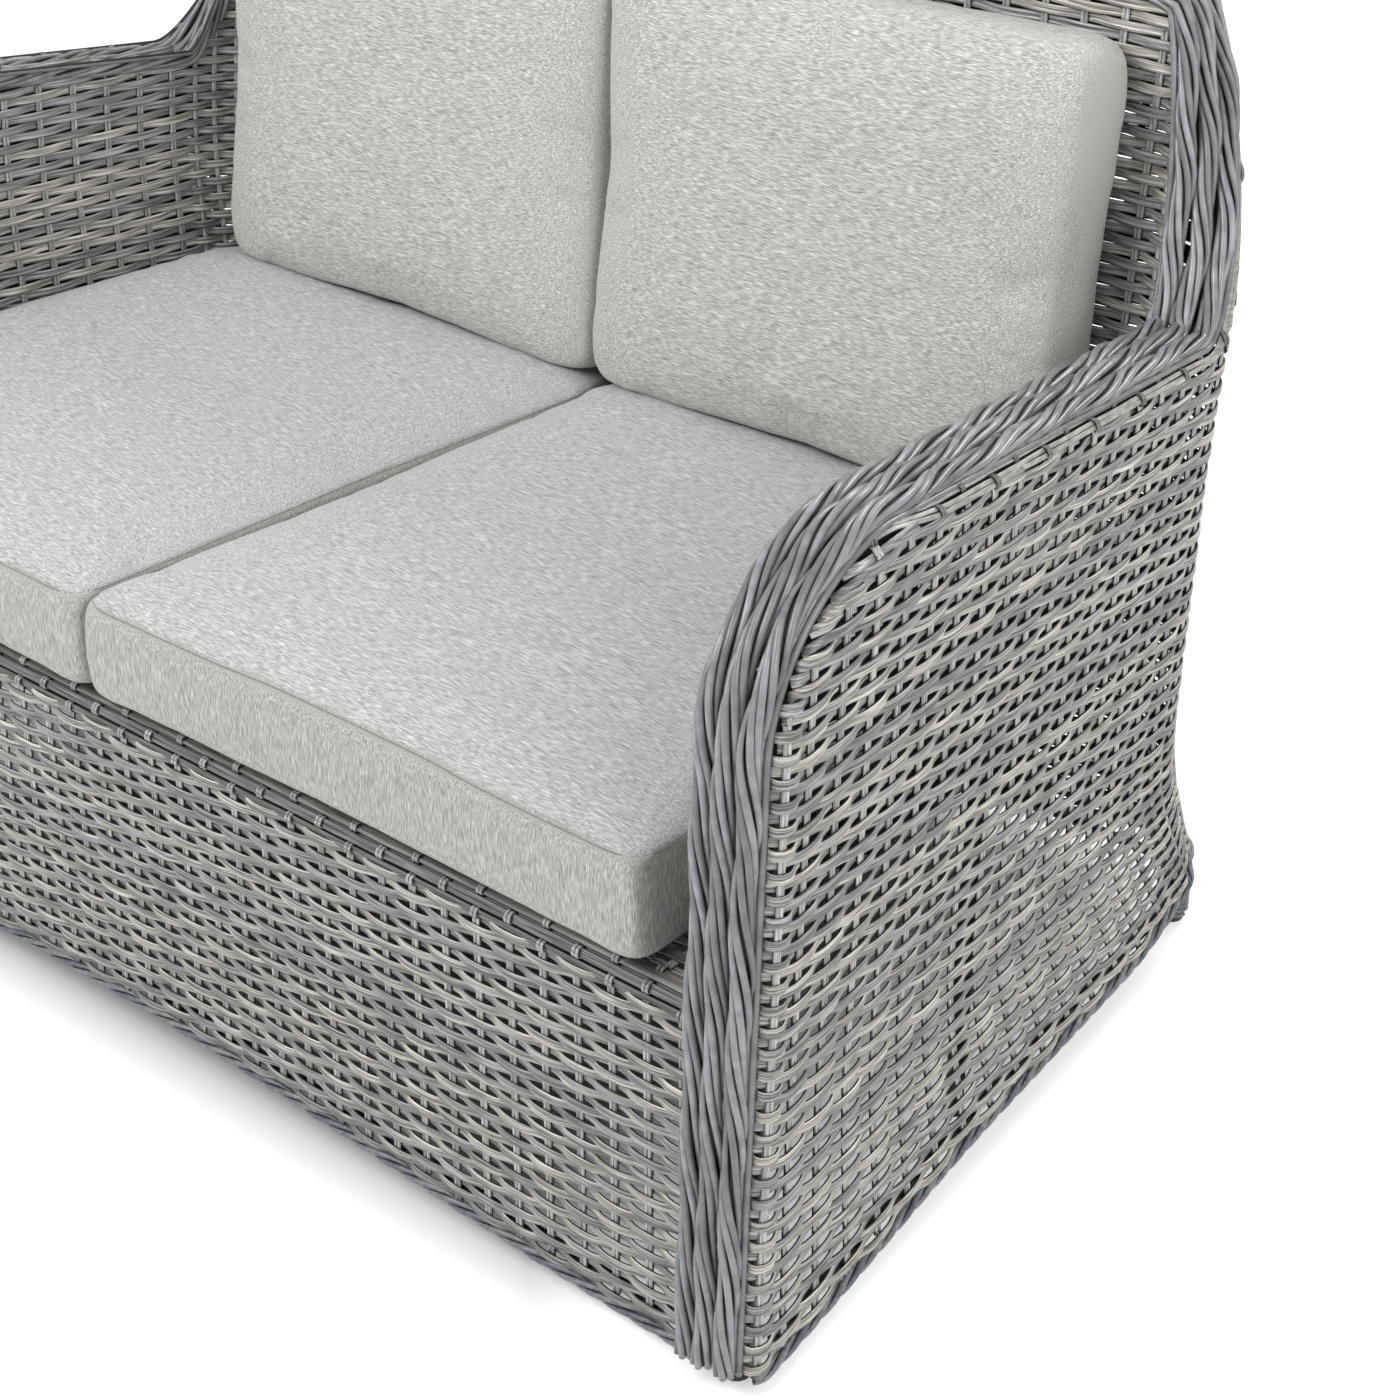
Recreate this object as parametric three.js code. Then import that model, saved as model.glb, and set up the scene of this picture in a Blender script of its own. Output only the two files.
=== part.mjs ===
// A two-seat woven garden sofa, in millimetres.
// X runs across the seat, Y from the front to the back, and Z up from the floor.
import * as THREE from 'three';

const degree = Math.PI / 180;
const seatCount = 2;

// Air between pieces that touch
const gap = 0.3;
const panelSeam = 0.5;
const seamShare = 1.5;
const deckClearance = 4;
const rimClearance = 1.2;

// Plan of the woven body, measured on its outer skin
const frontHalfWidth = 733;
const rearHalfWidth = 629;
const bodyFrontY = -388;
const waistY = 343;
const cornerRadius = 110;
const footCornerRadius = 25;
const cornerGrowHeight = 250;

// Profile of the woven body
const armHeight = 662;
const armDip = 47;
const armFlare = 25;
const archLength = 140;
const archHeight = 120;
const backHeight = 865;
const backCrown = 10;
const reclineDepth = 65;
const reclineStart = 480;
const reclinePower = 1.6;
const footSweep = 70;
const footSweepHeight = 300;
const sweepStartShare = 1;
const sweepEndShare = 2.2;

// Woven sheets
const sheetThickness = 5;
const armThickness = 70;
const rearArmThickness = 60;
const frontPanelY = -384;
const frontEdgeHeight = 15;
const frontArchRise = 23;
const sideEdgeFront = 22;
const sideEdgeRear = 40;

// Seat and backrest planes
const seatHeight = 330;
const seatSlope = 1 * degree;
const backRestY = 281;
const backRestAngle = 6 * degree;

// Plaited rim and twisted edge ropes
const braidWidth = 56;
const braidHeight = 20;
const shoulderWidth = 16;
const shoulderHeight = 6;
const braidFoot = 22;
const braidClearance = 1.6;
const ropeDiameter = 8;

// Tubes and rods of the frame
const hoopDiameter = 24;
const hoopInset = 20;
const tubeWall = 1.5;
const tubeSeam = 2;
const railDiameter = 28;
const seatBarDiameter = 22;
const postDiameter = 22;
const rodDiameter = 10;
const strutDiameter = 16;
const strutY = -60;
const sideRailInset = 24;

// Feet
const footHeight = 6;
const plugDepth = 14;
const plugClearance = 0.2;
const glideLip = 1;
const postStationShare = 1.6;
const postInset = 22.5;
const postClearance = 2.2;
const footStraight = 48;
const wrapStrand = 4;
const wrapClearance = 0.4;
const wrapPitch = 4.6;
const wrapTurns = 8;

// Cushions
const seatCushionFrontClearance = 49;
const seatCushionSideClearance = 14;
const seatCushionFront = -385;
const seatCushionRearClearance = 7;
const seatCushionWall = 96;
const seatCushionCrown = 15;
const seatCushionCorner = 30;
const seatCushionRearCorner = 62;
const backCushionSideClearance = 9.5;
const backCushionHeight = 405;
const backCushionWall = 78;
const backCushionCrown = 27;
const backCushionCorner = 42;
const backCushionSink = 12;
const backCushionClearance = 0.4;
const cushionDrawIn = 7;
const cushionBulge = 5;
const cushionSpacing = 1;
const crownPower = 6;

// How far the flats of a many-sided tube lie from its axis, in radii
const hexagonFlat = Math.cos(Math.PI / 6);
const octagonFlat = Math.cos(Math.PI / 8);

const up = new THREE.Vector3(0, 0, 1);
const { lerp } = THREE.MathUtils;
const clampShare = (value) => Math.min(Math.max(value, 0), 1);
const easeShare = (value) => clampShare(value) ** 2 * (3 - 2 * clampShare(value));

// Materials
const colours = {
  aluminium: [0x6d6f70, 0.5, 0.8],
  plastic: [0x2c2d2e, 0.6, 0],
  strand: [0x8d8d88, 0.55, 0],
  braid: [0x8a9094, 0.5, 0],
  fabric: [0xc8c6c0, 0.95, 0],
};

function piece(name, geometry, look) {
  const [color, roughness, metalness] = colours[look];
  const mesh = new THREE.Mesh(geometry, new THREE.MeshStandardMaterial({ color, roughness, metalness }));
  mesh.name = name;
  return mesh;
}

// Outer skin of the body

function backY(z) {
  const sweep = footSweep * clampShare(1 - z / footSweepHeight) ** 2;
  const lean = reclineDepth * clampShare((z - reclineStart) / (backHeight - reclineStart)) ** reclinePower;
  return waistY + sweep + lean;
}

function sideX(y, z) {
  const share = (y - bodyFrontY) / (waistY - bodyFrontY);
  return lerp(frontHalfWidth, rearHalfWidth, share) + armFlare * (z - seatHeight) / armHeight;
}

const cornerAt = (z) => lerp(footCornerRadius, cornerRadius, easeShare(z / cornerGrowHeight));
const sideLength = (z) => backY(z) - cornerAt(z) - bodyFrontY;
const cornerTurn = (station) => clampShare(station - 1) * Math.PI / 2;

// Stations run from 0 to 1 along the side, to 2 round the rear corner, and to 3 at the middle of the back.
function skin(station, z) {
  const turn = cornerTurn(station);
  const radius = cornerAt(z);
  const y = bodyFrontY + sideLength(z) * clampShare(station) + radius * Math.sin(turn);
  const x = sideX(y, z) - radius * (1 - Math.cos(turn));
  return new THREE.Vector3(x * (3 - Math.max(station, 2)), y, z);
}

function inward(station) {
  const turn = cornerTurn(station);
  return new THREE.Vector3(-Math.cos(turn), -Math.sin(turn), 0);
}

const backRestAt = (z) => backRestY + (z - seatHeight) * Math.tan(backRestAngle);

function wallThickness(station, z) {
  const arm = lerp(armThickness, rearArmThickness, clampShare(station));
  return lerp(arm, backY(z) - backRestAt(z), easeShare(station - 1));
}

const within = (station, z, depth) => skin(station, z).addScaledVector(inward(station), depth);
const middle = (station, z) => within(station, z, wallThickness(station, z) / 2);

// Height of the rim over each station
function rimHeight(station) {
  const along = station * sideLength(armHeight);
  if (along < archLength) {
    const rise = Math.sqrt(1 - (1 - along / archLength) ** 2);
    return armHeight - archHeight * (1 - rise);
  }
  const armStart = archLength / sideLength(armHeight);
  const armShare = clampShare((station - armStart) / (sweepStartShare - armStart));
  const armTop = armHeight - armDip * armShare;
  const sweepShare = easeShare((station - sweepStartShare) / (sweepEndShare - sweepStartShare));
  const crown = backCrown * easeShare((station - sweepEndShare) / (3 - sweepEndShare));
  return lerp(armTop, backHeight, sweepShare) + crown;
}

// The rim as a path: 0 to 1 up the front, 1 to 2 over the arch, 2 to 3 along the arm, 3 to 4 up to the
// back, and 4 to 5 along the back's top to its middle
function rimPlace(travel) {
  const part = Math.min(Math.floor(travel), 4);
  const share = travel - part;
  const armStart = archLength / sideLength(armHeight);
  if (part === 0) return { station: 0, z: lerp(braidFoot, armHeight - archHeight, share) };
  let station = armStart * (1 - Math.cos(share * Math.PI / 2));
  if (part === 2) station = lerp(armStart, sweepStartShare, share);
  if (part === 3) station = lerp(sweepStartShare, sweepEndShare, share);
  if (part === 4) station = lerp(sweepEndShare, 3, share);
  return { station, z: rimHeight(station) };
}

function rimFrame(travel) {
  const step = 0.01;
  const at = (value) => {
    const place = rimPlace(Math.min(Math.max(value, 0), 5));
    return middle(place.station, place.z);
  };
  const place = rimPlace(travel);
  const tangent = at(travel + step).sub(at(travel - step)).normalize();
  const out = tangent.clone().cross(inward(place.station)).normalize();
  const across = out.clone().cross(tangent).normalize();
  return { centre: middle(place.station, place.z), tangent, out, across };
}

// Height of the lower edges
const sideEdge = (station) => lerp(sideEdgeFront, sideEdgeRear, easeShare(2 * station));
const frontEdgeSpan = frontHalfWidth - armThickness;
const frontEdge = (x) => frontEdgeHeight + frontArchRise * easeShare(1 - Math.abs(x) / frontEdgeSpan);

// Geometry builders

function solidFrom(points, triangles) {
  const geometry = new THREE.BufferGeometry();
  geometry.setAttribute('position', new THREE.Float32BufferAttribute(points.flatMap((p) => p.toArray()), 3));
  geometry.setIndex(triangles);
  return geometry;
}

// A closed sheet between two faces, each a function of two shares
function sheet(columns, rows, face, reverse, flip = false) {
  const points = [];
  const triangles = [];
  for (const side of [face, reverse]) {
    for (let row = 0; row <= rows; row += 1) {
      for (let column = 0; column <= columns; column += 1) points.push(side(column / columns, row / rows));
    }
  }
  const layer = (columns + 1) * (rows + 1);
  const index = (side, column, row) => side * layer + row * (columns + 1) + column;
  const quad = (a, b, c, d) => triangles.push(...(flip ? [a, c, b, a, d, c] : [a, b, c, a, c, d]));
  for (let row = 0; row < rows; row += 1) {
    for (let column = 0; column < columns; column += 1) {
      const corners = [[column, row], [column + 1, row], [column + 1, row + 1], [column, row + 1]];
      quad(...corners.map(([i, j]) => index(0, i, j)));
      quad(...corners.reverse().map(([i, j]) => index(1, i, j)));
    }
  }
  for (let column = 0; column < columns; column += 1) {
    const next = column + 1;
    quad(index(1, column, 0), index(1, next, 0), index(0, next, 0), index(0, column, 0));
    quad(index(0, column, rows), index(0, next, rows), index(1, next, rows), index(1, column, rows));
  }
  for (let row = 0; row < rows; row += 1) {
    const next = row + 1;
    quad(index(0, 0, row), index(0, 0, next), index(1, 0, next), index(1, 0, row));
    quad(index(1, columns, row), index(1, columns, next), index(0, columns, next), index(0, columns, row));
  }
  return solidFrom(points, triangles);
}

// A convex section carried along a row of frames, with flat ends
function sweptBar(frames, section) {
  const points = [];
  const triangles = [];
  for (const { centre, across, out } of frames) {
    for (const [a, b] of section) {
      points.push(centre.clone().addScaledVector(across, a).addScaledVector(out, b));
    }
  }
  const sides = section.length;
  for (let ring = 0; ring + 1 < frames.length; ring += 1) {
    for (let side = 0; side < sides; side += 1) {
      const next = (side + 1) % sides;
      const [a, b] = [ring * sides + side, ring * sides + next];
      triangles.push(a, b, b + sides, a, b + sides, a + sides);
    }
  }
  const last = (frames.length - 1) * sides;
  for (let side = 1; side + 1 < sides; side += 1) {
    triangles.push(0, side + 1, side, last, last + side, last + side + 1);
  }
  return solidFrom(points, triangles);
}

function ringShape(radius, wall, sides) {
  const shape = new THREE.Shape();
  const hole = new THREE.Path();
  for (let side = 0; side < sides; side += 1) {
    const angle = side * 2 * Math.PI / sides;
    const [x, y] = [Math.cos(angle), Math.sin(angle)];
    if (side === 0) shape.moveTo(radius * x, radius * y);
    else shape.lineTo(radius * x, radius * y);
    if (side === 0) hole.moveTo((radius - wall) * x, (radius - wall) * y);
    else hole.lineTo((radius - wall) * x, (radius - wall) * y);
  }
  shape.closePath();
  hole.closePath();
  if (wall < radius) shape.holes.push(hole);
  return shape;
}

function pipe(points, diameter, wall, steps, sides = 10) {
  const straight = points.length === 2;
  const path = straight
    ? new THREE.LineCurve3(...points)
    : new THREE.CatmullRomCurve3(points, false, 'centripetal');
  const options = { steps: straight ? 1 : steps, extrudePath: path, bevelEnabled: false };
  return new THREE.ExtrudeGeometry(ringShape(diameter / 2, wall, sides), options);
}

const rod = (points, diameter, steps, sides = 8) => pipe(points, diameter, diameter / 2, steps, sides);

function samples(count, at) {
  return Array.from({ length: count + 1 }, (_, index) => at(index / count));
}

// Reflects a right-hand piece to the left
function mirrored(geometry) {
  const copy = geometry.clone();
  copy.scale(-1, 1, 1);
  if (copy.index) {
    const order = Array.from(copy.index.array);
    for (let i = 0; i < order.length; i += 3) [order[i + 1], order[i + 2]] = [order[i + 2], order[i + 1]];
    copy.setIndex(order);
    return copy;
  }
  const { array } = copy.attributes.position;
  for (let i = 0; i < array.length; i += 9) {
    for (let axis = 0; axis < 3; axis += 1) {
      [array[i + 3 + axis], array[i + 6 + axis]] = [array[i + 6 + axis], array[i + 3 + axis]];
    }
  }
  return copy;
}

function pair(name, geometry, look) {
  return [piece(`${name}_right`, geometry, look), piece(`${name}_left`, mirrored(geometry), look)];
}

// Frame

const frameTravel = (travel, depth) => {
  const { centre, out } = rimFrame(travel);
  return centre.addScaledVector(out, -depth);
};

const legFrame = frameTravel(0, hoopInset);
const legBaseZ = footHeight + gap;

function armHoop() {
  const base = [legBaseZ, braidFoot].map((z) => new THREE.Vector3(legFrame.x, legFrame.y, z));
  const rise = samples(3, (share) => frameTravel(lerp(0.1, 0.9, share), hoopInset));
  const arch = samples(5, (share) => frameTravel(lerp(1.05, 1.95, share), hoopInset));
  const arm = samples(4, (share) => frameTravel(lerp(2.15, 2.9, share), hoopInset));
  const climb = samples(5, (share) => frameTravel(lerp(3.05, 4, share), hoopInset));
  return pipe([...base, ...rise, ...arch, ...arm, ...climb], hoopDiameter, tubeWall, 28, 8);
}

// Where a bar at a height, with its front at a depth, meets the leg's round side
function legSide(z, barFrontY) {
  const leg = frameTravel(Math.max(z - braidFoot, 0) / (armHeight - archHeight - braidFoot), hoopInset);
  const offset = Math.max(barFrontY - leg.y, 0);
  return leg.x - Math.sqrt((hoopDiameter / 2) ** 2 - offset ** 2) - 3 * gap;
}

const railY = frontPanelY + sheetThickness + gap + railDiameter / 2;
const deckDrop = (y) => (y - railY) * Math.sin(seatSlope);
const deckTop = (y) => seatHeight - deckDrop(y);
const railZ = seatHeight - sheetThickness - gap - railDiameter / 2;
const railEnd = legSide(railZ, railY - railDiameter / 2);
const barZ = (y) => deckTop(y) - sheetThickness - gap - seatBarDiameter / 2;

function postPoint(z) {
  const depth = wallThickness(postStationShare, Math.max(z, seatHeight)) / 2;
  const share = easeShare((z - footStraight) / (footSweepHeight - footStraight));
  return within(postStationShare, z, lerp(postInset, depth, share));
}

const footPoint = postPoint(footStraight);

// Height at which the post meets the underside of the climbing hoop
function postTopHeight() {
  const { x, y } = postPoint(armHeight);
  const away = (travel) => {
    const point = frameTravel(travel, hoopInset);
    return Math.hypot(point.x - x, point.y - y);
  };
  const travels = samples(60, (share) => 3 + share);
  const nearest = travels.reduce((best, travel) => (away(travel) < away(best) ? travel : best));
  const { tangent } = rimFrame(nearest);
  const run = Math.hypot(tangent.x, tangent.y);
  const reach = (hoopDiameter / 2 + postDiameter / 2 * tangent.z) / run;
  return frameTravel(nearest, hoopInset).z - reach - postClearance;
}

const postTop = postTopHeight();

function rearPost() {
  const foot = [legBaseZ, footStraight / 2].map((z) => new THREE.Vector3(footPoint.x, footPoint.y, z));
  const rise = samples(9, (share) => postPoint(lerp(footStraight, postTop, share)));
  return pipe([...foot, ...rise], postDiameter, tubeWall, 16, 10);
}

const rearRailZ = barZ(postPoint(seatHeight).y);
const rearRailPoint = postPoint(rearRailZ);
const rearRailEnd = rearRailPoint.x - postDiameter / 2 - gap;

function acrossBar(halfLength, y, z, diameter, sides) {
  const ends = [new THREE.Vector3(-halfLength, y, z), new THREE.Vector3(halfLength, y, z)];
  return pipe(ends, diameter, tubeWall, 1, sides);
}

function seatBar(frontX, rearX) {
  const slant = Math.abs(frontX - rearX) / (rearRailPoint.y - railY);
  const slack = gap + seatBarDiameter / 2 * (slant + Math.tan(seatSlope));
  const frontY = railY + railDiameter / 2 + slack;
  const rearY = rearRailPoint.y - seatBarDiameter / 2 - slack;
  const ends = [[frontX, frontY], [rearX, rearY]].map(([x, y]) => new THREE.Vector3(x, y, barZ(y)));
  return pipe(ends, seatBarDiameter, tubeWall, 1, 10);
}

const backTopFrame = frameTravel(4, hoopInset);

function backTopTube() {
  const half = samples(4, (share) => frameTravel(lerp(4, 5, share), hoopInset));
  half[0].addScaledVector(rimFrame(4).tangent, tubeSeam);
  const left = half.slice(0, -1).map((point) => new THREE.Vector3(-point.x, point.y, point.z));
  return pipe([...left, ...half.reverse()], hoopDiameter, tubeWall, 12, 8);
}

function backUpright() {
  const foot = deckTop(rearRailPoint.y) - sheetThickness;
  const top = frameTravel(5, hoopInset).z - hoopDiameter / 2 * octagonFlat - 2 * gap;
  const railTop = rearRailZ + seatBarDiameter / 2 + gap;
  const rise = samples(7, (share) => {
    const z = lerp(Math.max(foot, railTop), top, share);
    const depth = (backY(z) + backRestAt(z)) / 2;
    return new THREE.Vector3(0, Math.max(depth, 0), z);
  });
  return pipe(rise, postDiameter, tubeWall, 12, 8);
}

const sideRodDepth = sheetThickness + gap + rodDiameter / 2;
const rodLift = rodDiameter;

function sideRod() {
  const clear = (hoopDiameter + rodDiameter) / 2 + gap;
  const start = (legFrame.y + clear - bodyFrontY) / sideLength(sideEdgeFront);
  const end = 1;
  const points = samples(8, (share) => {
    const station = lerp(start, end, share);
    return within(station, sideEdge(station) + rodLift, sideRodDepth);
  });
  return rod(points, rodDiameter, 12, 6);
}

function frontRod() {
  const y = frontPanelY + sheetThickness + gap + rodDiameter / 2;
  const half = legSide(frontEdgeHeight, y - rodDiameter / 2);
  const points = samples(8, (share) => {
    const x = lerp(-half, half, share);
    return new THREE.Vector3(x, y, frontEdge(x) + rodLift);
  });
  return rod(points, rodDiameter, 12, 6);
}

function backRod() {
  const z = sideEdgeRear + rodLift;
  const half = postPoint(z).x - (postDiameter + rodDiameter) / 2 - gap;
  const y = backY(z) - sideRodDepth;
  return rod([new THREE.Vector3(-half, y, z), new THREE.Vector3(half, y, z)], rodDiameter, 1, 8);
}

function armStrut() {
  const stationAt = (z) => (strutY - bodyFrontY) / sideLength(z);
  const head = middle(stationAt(armHeight), rimHeight(stationAt(armHeight)));
  const slope = armDip / (sideLength(armHeight) * sweepStartShare - archLength);
  const top = head.z - hoopInset - hoopDiameter / 2 - 2 * gap - strutDiameter / 2 * slope;
  const footZ = sideEdgeRear + rodLift;
  const depth = sideRodDepth + rodDiameter / 2 * hexagonFlat + strutDiameter / 2 + gap;
  const foot = within(stationAt(footZ), footZ, depth);
  return pipe([foot, new THREE.Vector3(head.x, strutY, top)], strutDiameter, tubeWall, 1, 10);
}

// Feet

function glide(tubeDiameter) {
  const head = tubeDiameter / 2;
  const stem = tubeDiameter / 2 - tubeWall - plugClearance - glideLip;
  const profile = [
    [0, 0],
    [head - glideLip, 0],
    [head, glideLip],
    [head, footHeight],
    [stem, footHeight],
    [stem, footHeight + plugDepth],
    [0, footHeight + plugDepth],
  ];
  const geometry = new THREE.LatheGeometry(profile.map(([x, y]) => new THREE.Vector2(x, y)), 14);
  return geometry.rotateX(Math.PI / 2);
}

// The strand wound round a rear foot, as one unbroken tube
function footWinding() {
  const radius = postDiameter / 2 + wrapClearance + wrapStrand / 2;
  const steps = 12;
  const sides = 5;
  const rings = [];
  for (let step = 0; step <= wrapTurns * steps; step += 1) {
    const angle = -step * 2 * Math.PI / steps;
    const radial = new THREE.Vector3(Math.cos(angle), Math.sin(angle), 0);
    const centre = radial.clone().multiplyScalar(radius);
    centre.z = legBaseZ + wrapStrand / 2 + wrapPitch * step / steps;
    rings.push({ centre, across: radial, out: up });
  }
  const circle = Array.from({ length: sides }, (_, side) => {
    const angle = side * 2 * Math.PI / sides;
    return [wrapStrand / 2 * Math.cos(angle), wrapStrand / 2 * Math.sin(angle)];
  });
  const geometry = sweptBar(rings, circle);
  console.log('least gap in the foot winding', leastGap(geometry, sides, steps).toFixed(2));
  geometry.translate(footPoint.x, footPoint.y, 0);
  return geometry;
}

// Least distance between points of the tube that are more than half a turn apart
function leastGap(geometry, sides, steps) {
  const { position } = geometry.attributes;
  const [a, b] = [new THREE.Vector3(), new THREE.Vector3()];
  let least = Infinity;
  for (let i = 0; i < position.count; i += 1) {
    for (let j = i + sides * steps / 2; j < Math.min(i + sides * steps * 3 / 2, position.count); j += 1) {
      a.fromBufferAttribute(position, i);
      b.fromBufferAttribute(position, j);
      least = Math.min(least, a.distanceTo(b));
    }
  }
  return least;
}

// Woven sheets

const sidePanelRows = 9;
const innerPanelRows = 6;

function sidePanel() {
  const stations = (share) => seamShare * share ** 1.5;
  const level = (station, share) => lerp(sideEdge(station), rimHeight(station), share);
  const face = (a, b) => skin(stations(a), level(stations(a), b));
  const reverse = (a, b) => within(stations(a), level(stations(a), b), sheetThickness);
  return sheet(18, sidePanelRows, face, reverse);
}

function armInnerPanel() {
  const stations = (share) => seamShare * share ** 1.5;
  const bottom = (station) => deckTop(Math.max(skin(station, seatHeight).y, railY)) + gap;
  const level = (station, share) => lerp(bottom(station), rimHeight(station), share);
  const at = (a, b, inset) => {
    const [station, z] = [stations(a), level(stations(a), b)];
    return within(station, z, wallThickness(station, z) - inset);
  };
  return sheet(18, innerPanelRows, (a, b) => at(a, b, sheetThickness), (a, b) => at(a, b, 0));
}

// Stations and sides of a sheet that runs across the back
const backSeamShare = seamShare + panelSeam / footCornerRadius;

function backPlace(share) {
  const turned = 1 - Math.abs(2 * share - 1);
  return { station: lerp(backSeamShare, 3, turned ** 0.7), side: share < 0.5 ? 1 : -1 };
}

function backSheet(bottom, depth, rows) {
  const at = (a, b, inset) => {
    const { station, side } = backPlace(a);
    const z = lerp(bottom(station), rimHeight(station) - rimClearance, b);
    const point = within(station, z, depth(station, z) + inset);
    point.x *= side;
    return point;
  };
  return sheet(20, rows, (a, b) => at(a, b, 0), (a, b) => at(a, b, sheetThickness));
}

const backOuterPanel = () => backSheet(() => sideEdgeRear, () => 0, sidePanelRows);
const innerBackDepth = (station, z) => wallThickness(station, z) - sheetThickness;
const deckRearTop = deckTop(backRestY);
const backInnerBottom = deckRearTop - sheetThickness;
const deckEdgeY = backRestAt(backInnerBottom) - gap;
const backInnerPanel = () => backSheet(() => backInnerBottom, innerBackDepth, innerPanelRows);

function frontPanel() {
  const half = frontHalfWidth - armThickness - gap - sheetThickness;
  const top = railZ;
  const at = (y) => (a, b) => {
    const x = lerp(-half, half, a);
    return new THREE.Vector3(x, y, lerp(frontEdge(x), top, b));
  };
  return sheet(16, 2, at(frontPanelY), at(frontPanelY + sheetThickness));
}

// The woven cap over the front rail, from the panel's top to the deck
function railCap() {
  const half = legSide(railZ, frontPanelY) - 2 * gap;
  const inner = railDiameter / 2 + gap;
  const at = (radius) => (a, b) => {
    const angle = lerp(Math.PI, Math.PI / 2, b);
    const lift = gap * (1 - b);
    const y = railY + radius * Math.cos(angle);
    return new THREE.Vector3(lerp(-half, half, a), y, railZ + lift + radius * Math.sin(angle));
  };
  return sheet(2, 6, at(inner + sheetThickness), at(inner));
}

const deckRowShares = [0, 0.5, 0.91, 0.95, 0.98, 1];

// Half the deck's width, with its rear corners rounded to clear the corners of the backrest
function deckHalf(y) {
  const radius = cornerRadius - rearArmThickness;
  const centreY = deckEdgeY - radius;
  const half = (at) => sideX(at, seatHeight) - armThickness;
  if (y < centreY) return half(y);
  return half(centreY) - radius - deckClearance + Math.sqrt(Math.max(radius ** 2 - (y - centreY) ** 2, 0));
}

function seatDeck() {
  const rows = deckRowShares.length - 1;
  const at = (drop) => (a, b) => {
    const y = lerp(railY + gap, deckEdgeY, deckRowShares[Math.round(b * rows)]);
    return new THREE.Vector3(lerp(-deckHalf(y), deckHalf(y), a), y, deckTop(y) - drop);
  };
  return sheet(4, rows, at(0), at(sheetThickness));
}

// Plaited rims and ropes

const braidCrownShares = [
  [0.42, 0],
  [0.5, 0.28],
  [0.44, 0.66],
  [0.26, 0.93],
  [0, 1],
  [-0.26, 0.93],
  [-0.44, 0.66],
];

// Section of the rim: the plait's crown along the inner edge, and a low woven shoulder along the outer one
const braidOutline = [
  ...braidCrownShares.map(([widthShare, heightShare]) => [
    shoulderWidth / 2 + widthShare * braidWidth,
    braidClearance + heightShare * braidHeight,
  ]),
  [(shoulderWidth - braidWidth) / 2, braidClearance + shoulderHeight],
  [-(shoulderWidth + braidWidth) / 2, braidClearance + shoulderHeight / 2],
  [-(shoulderWidth + braidWidth - shoulderHeight) / 2, braidClearance],
];

const armBraidTravels = [
  ...samples(3, (share) => share),
  ...samples(8, (share) => 1 + share).slice(1),
  ...samples(6, (share) => 2 + share).slice(1),
  ...samples(12, (share) => 3 + share).slice(1),
];

function armBraid() {
  return sweptBar(armBraidTravels.map(rimFrame), braidOutline);
}

function backBraid() {
  const half = samples(8, (share) => rimFrame(4 + share));
  half[0].centre.addScaledVector(half[0].tangent, gap);
  const left = half.slice(0, -1).reverse().map(({ centre, tangent, out, across }) => ({
    centre: new THREE.Vector3(-centre.x, centre.y, centre.z),
    tangent,
    out: new THREE.Vector3(-out.x, out.y, out.z),
    across: new THREE.Vector3(-across.x, across.y, across.z),
  }));
  return sweptBar([...half, ...left], braidOutline);
}

const ropeDrop = ropeDiameter / 2 + 2 * gap;

const sideRopeStartShare = 0.02;
const backRopeStartShare = 1.55;

function sideRope() {
  const points = samples(12, (share) => {
    const station = lerp(sideRopeStartShare, seamShare, share);
    return within(station, sideEdge(station) - ropeDrop, sheetThickness / 2);
  });
  return rod(points, ropeDiameter, 20, 6);
}

function frontRope() {
  const half = frontHalfWidth - armThickness - ropeDiameter;
  const points = samples(8, (share) => {
    const x = lerp(-half, half, share);
    return new THREE.Vector3(x, frontPanelY + sheetThickness / 2, frontEdge(x) - ropeDrop);
  });
  return rod(points, ropeDiameter, 14, 6);
}

function backRope() {
  const end = within(seamShare, sideEdgeRear - ropeDrop, sheetThickness / 2);
  const turn = samples(3, (share) => {
    const station = lerp(backRopeStartShare, 2, share);
    return within(station, sideEdgeRear - ropeDrop, sheetThickness / 2);
  });
  turn[0].x = Math.min(turn[0].x, end.x - ropeDiameter / 4);
  const left = turn.map((point) => new THREE.Vector3(-point.x, point.y, point.z)).reverse();
  return rod([...turn, ...left], ropeDiameter, 14, 6);
}

// Cushions

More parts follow.
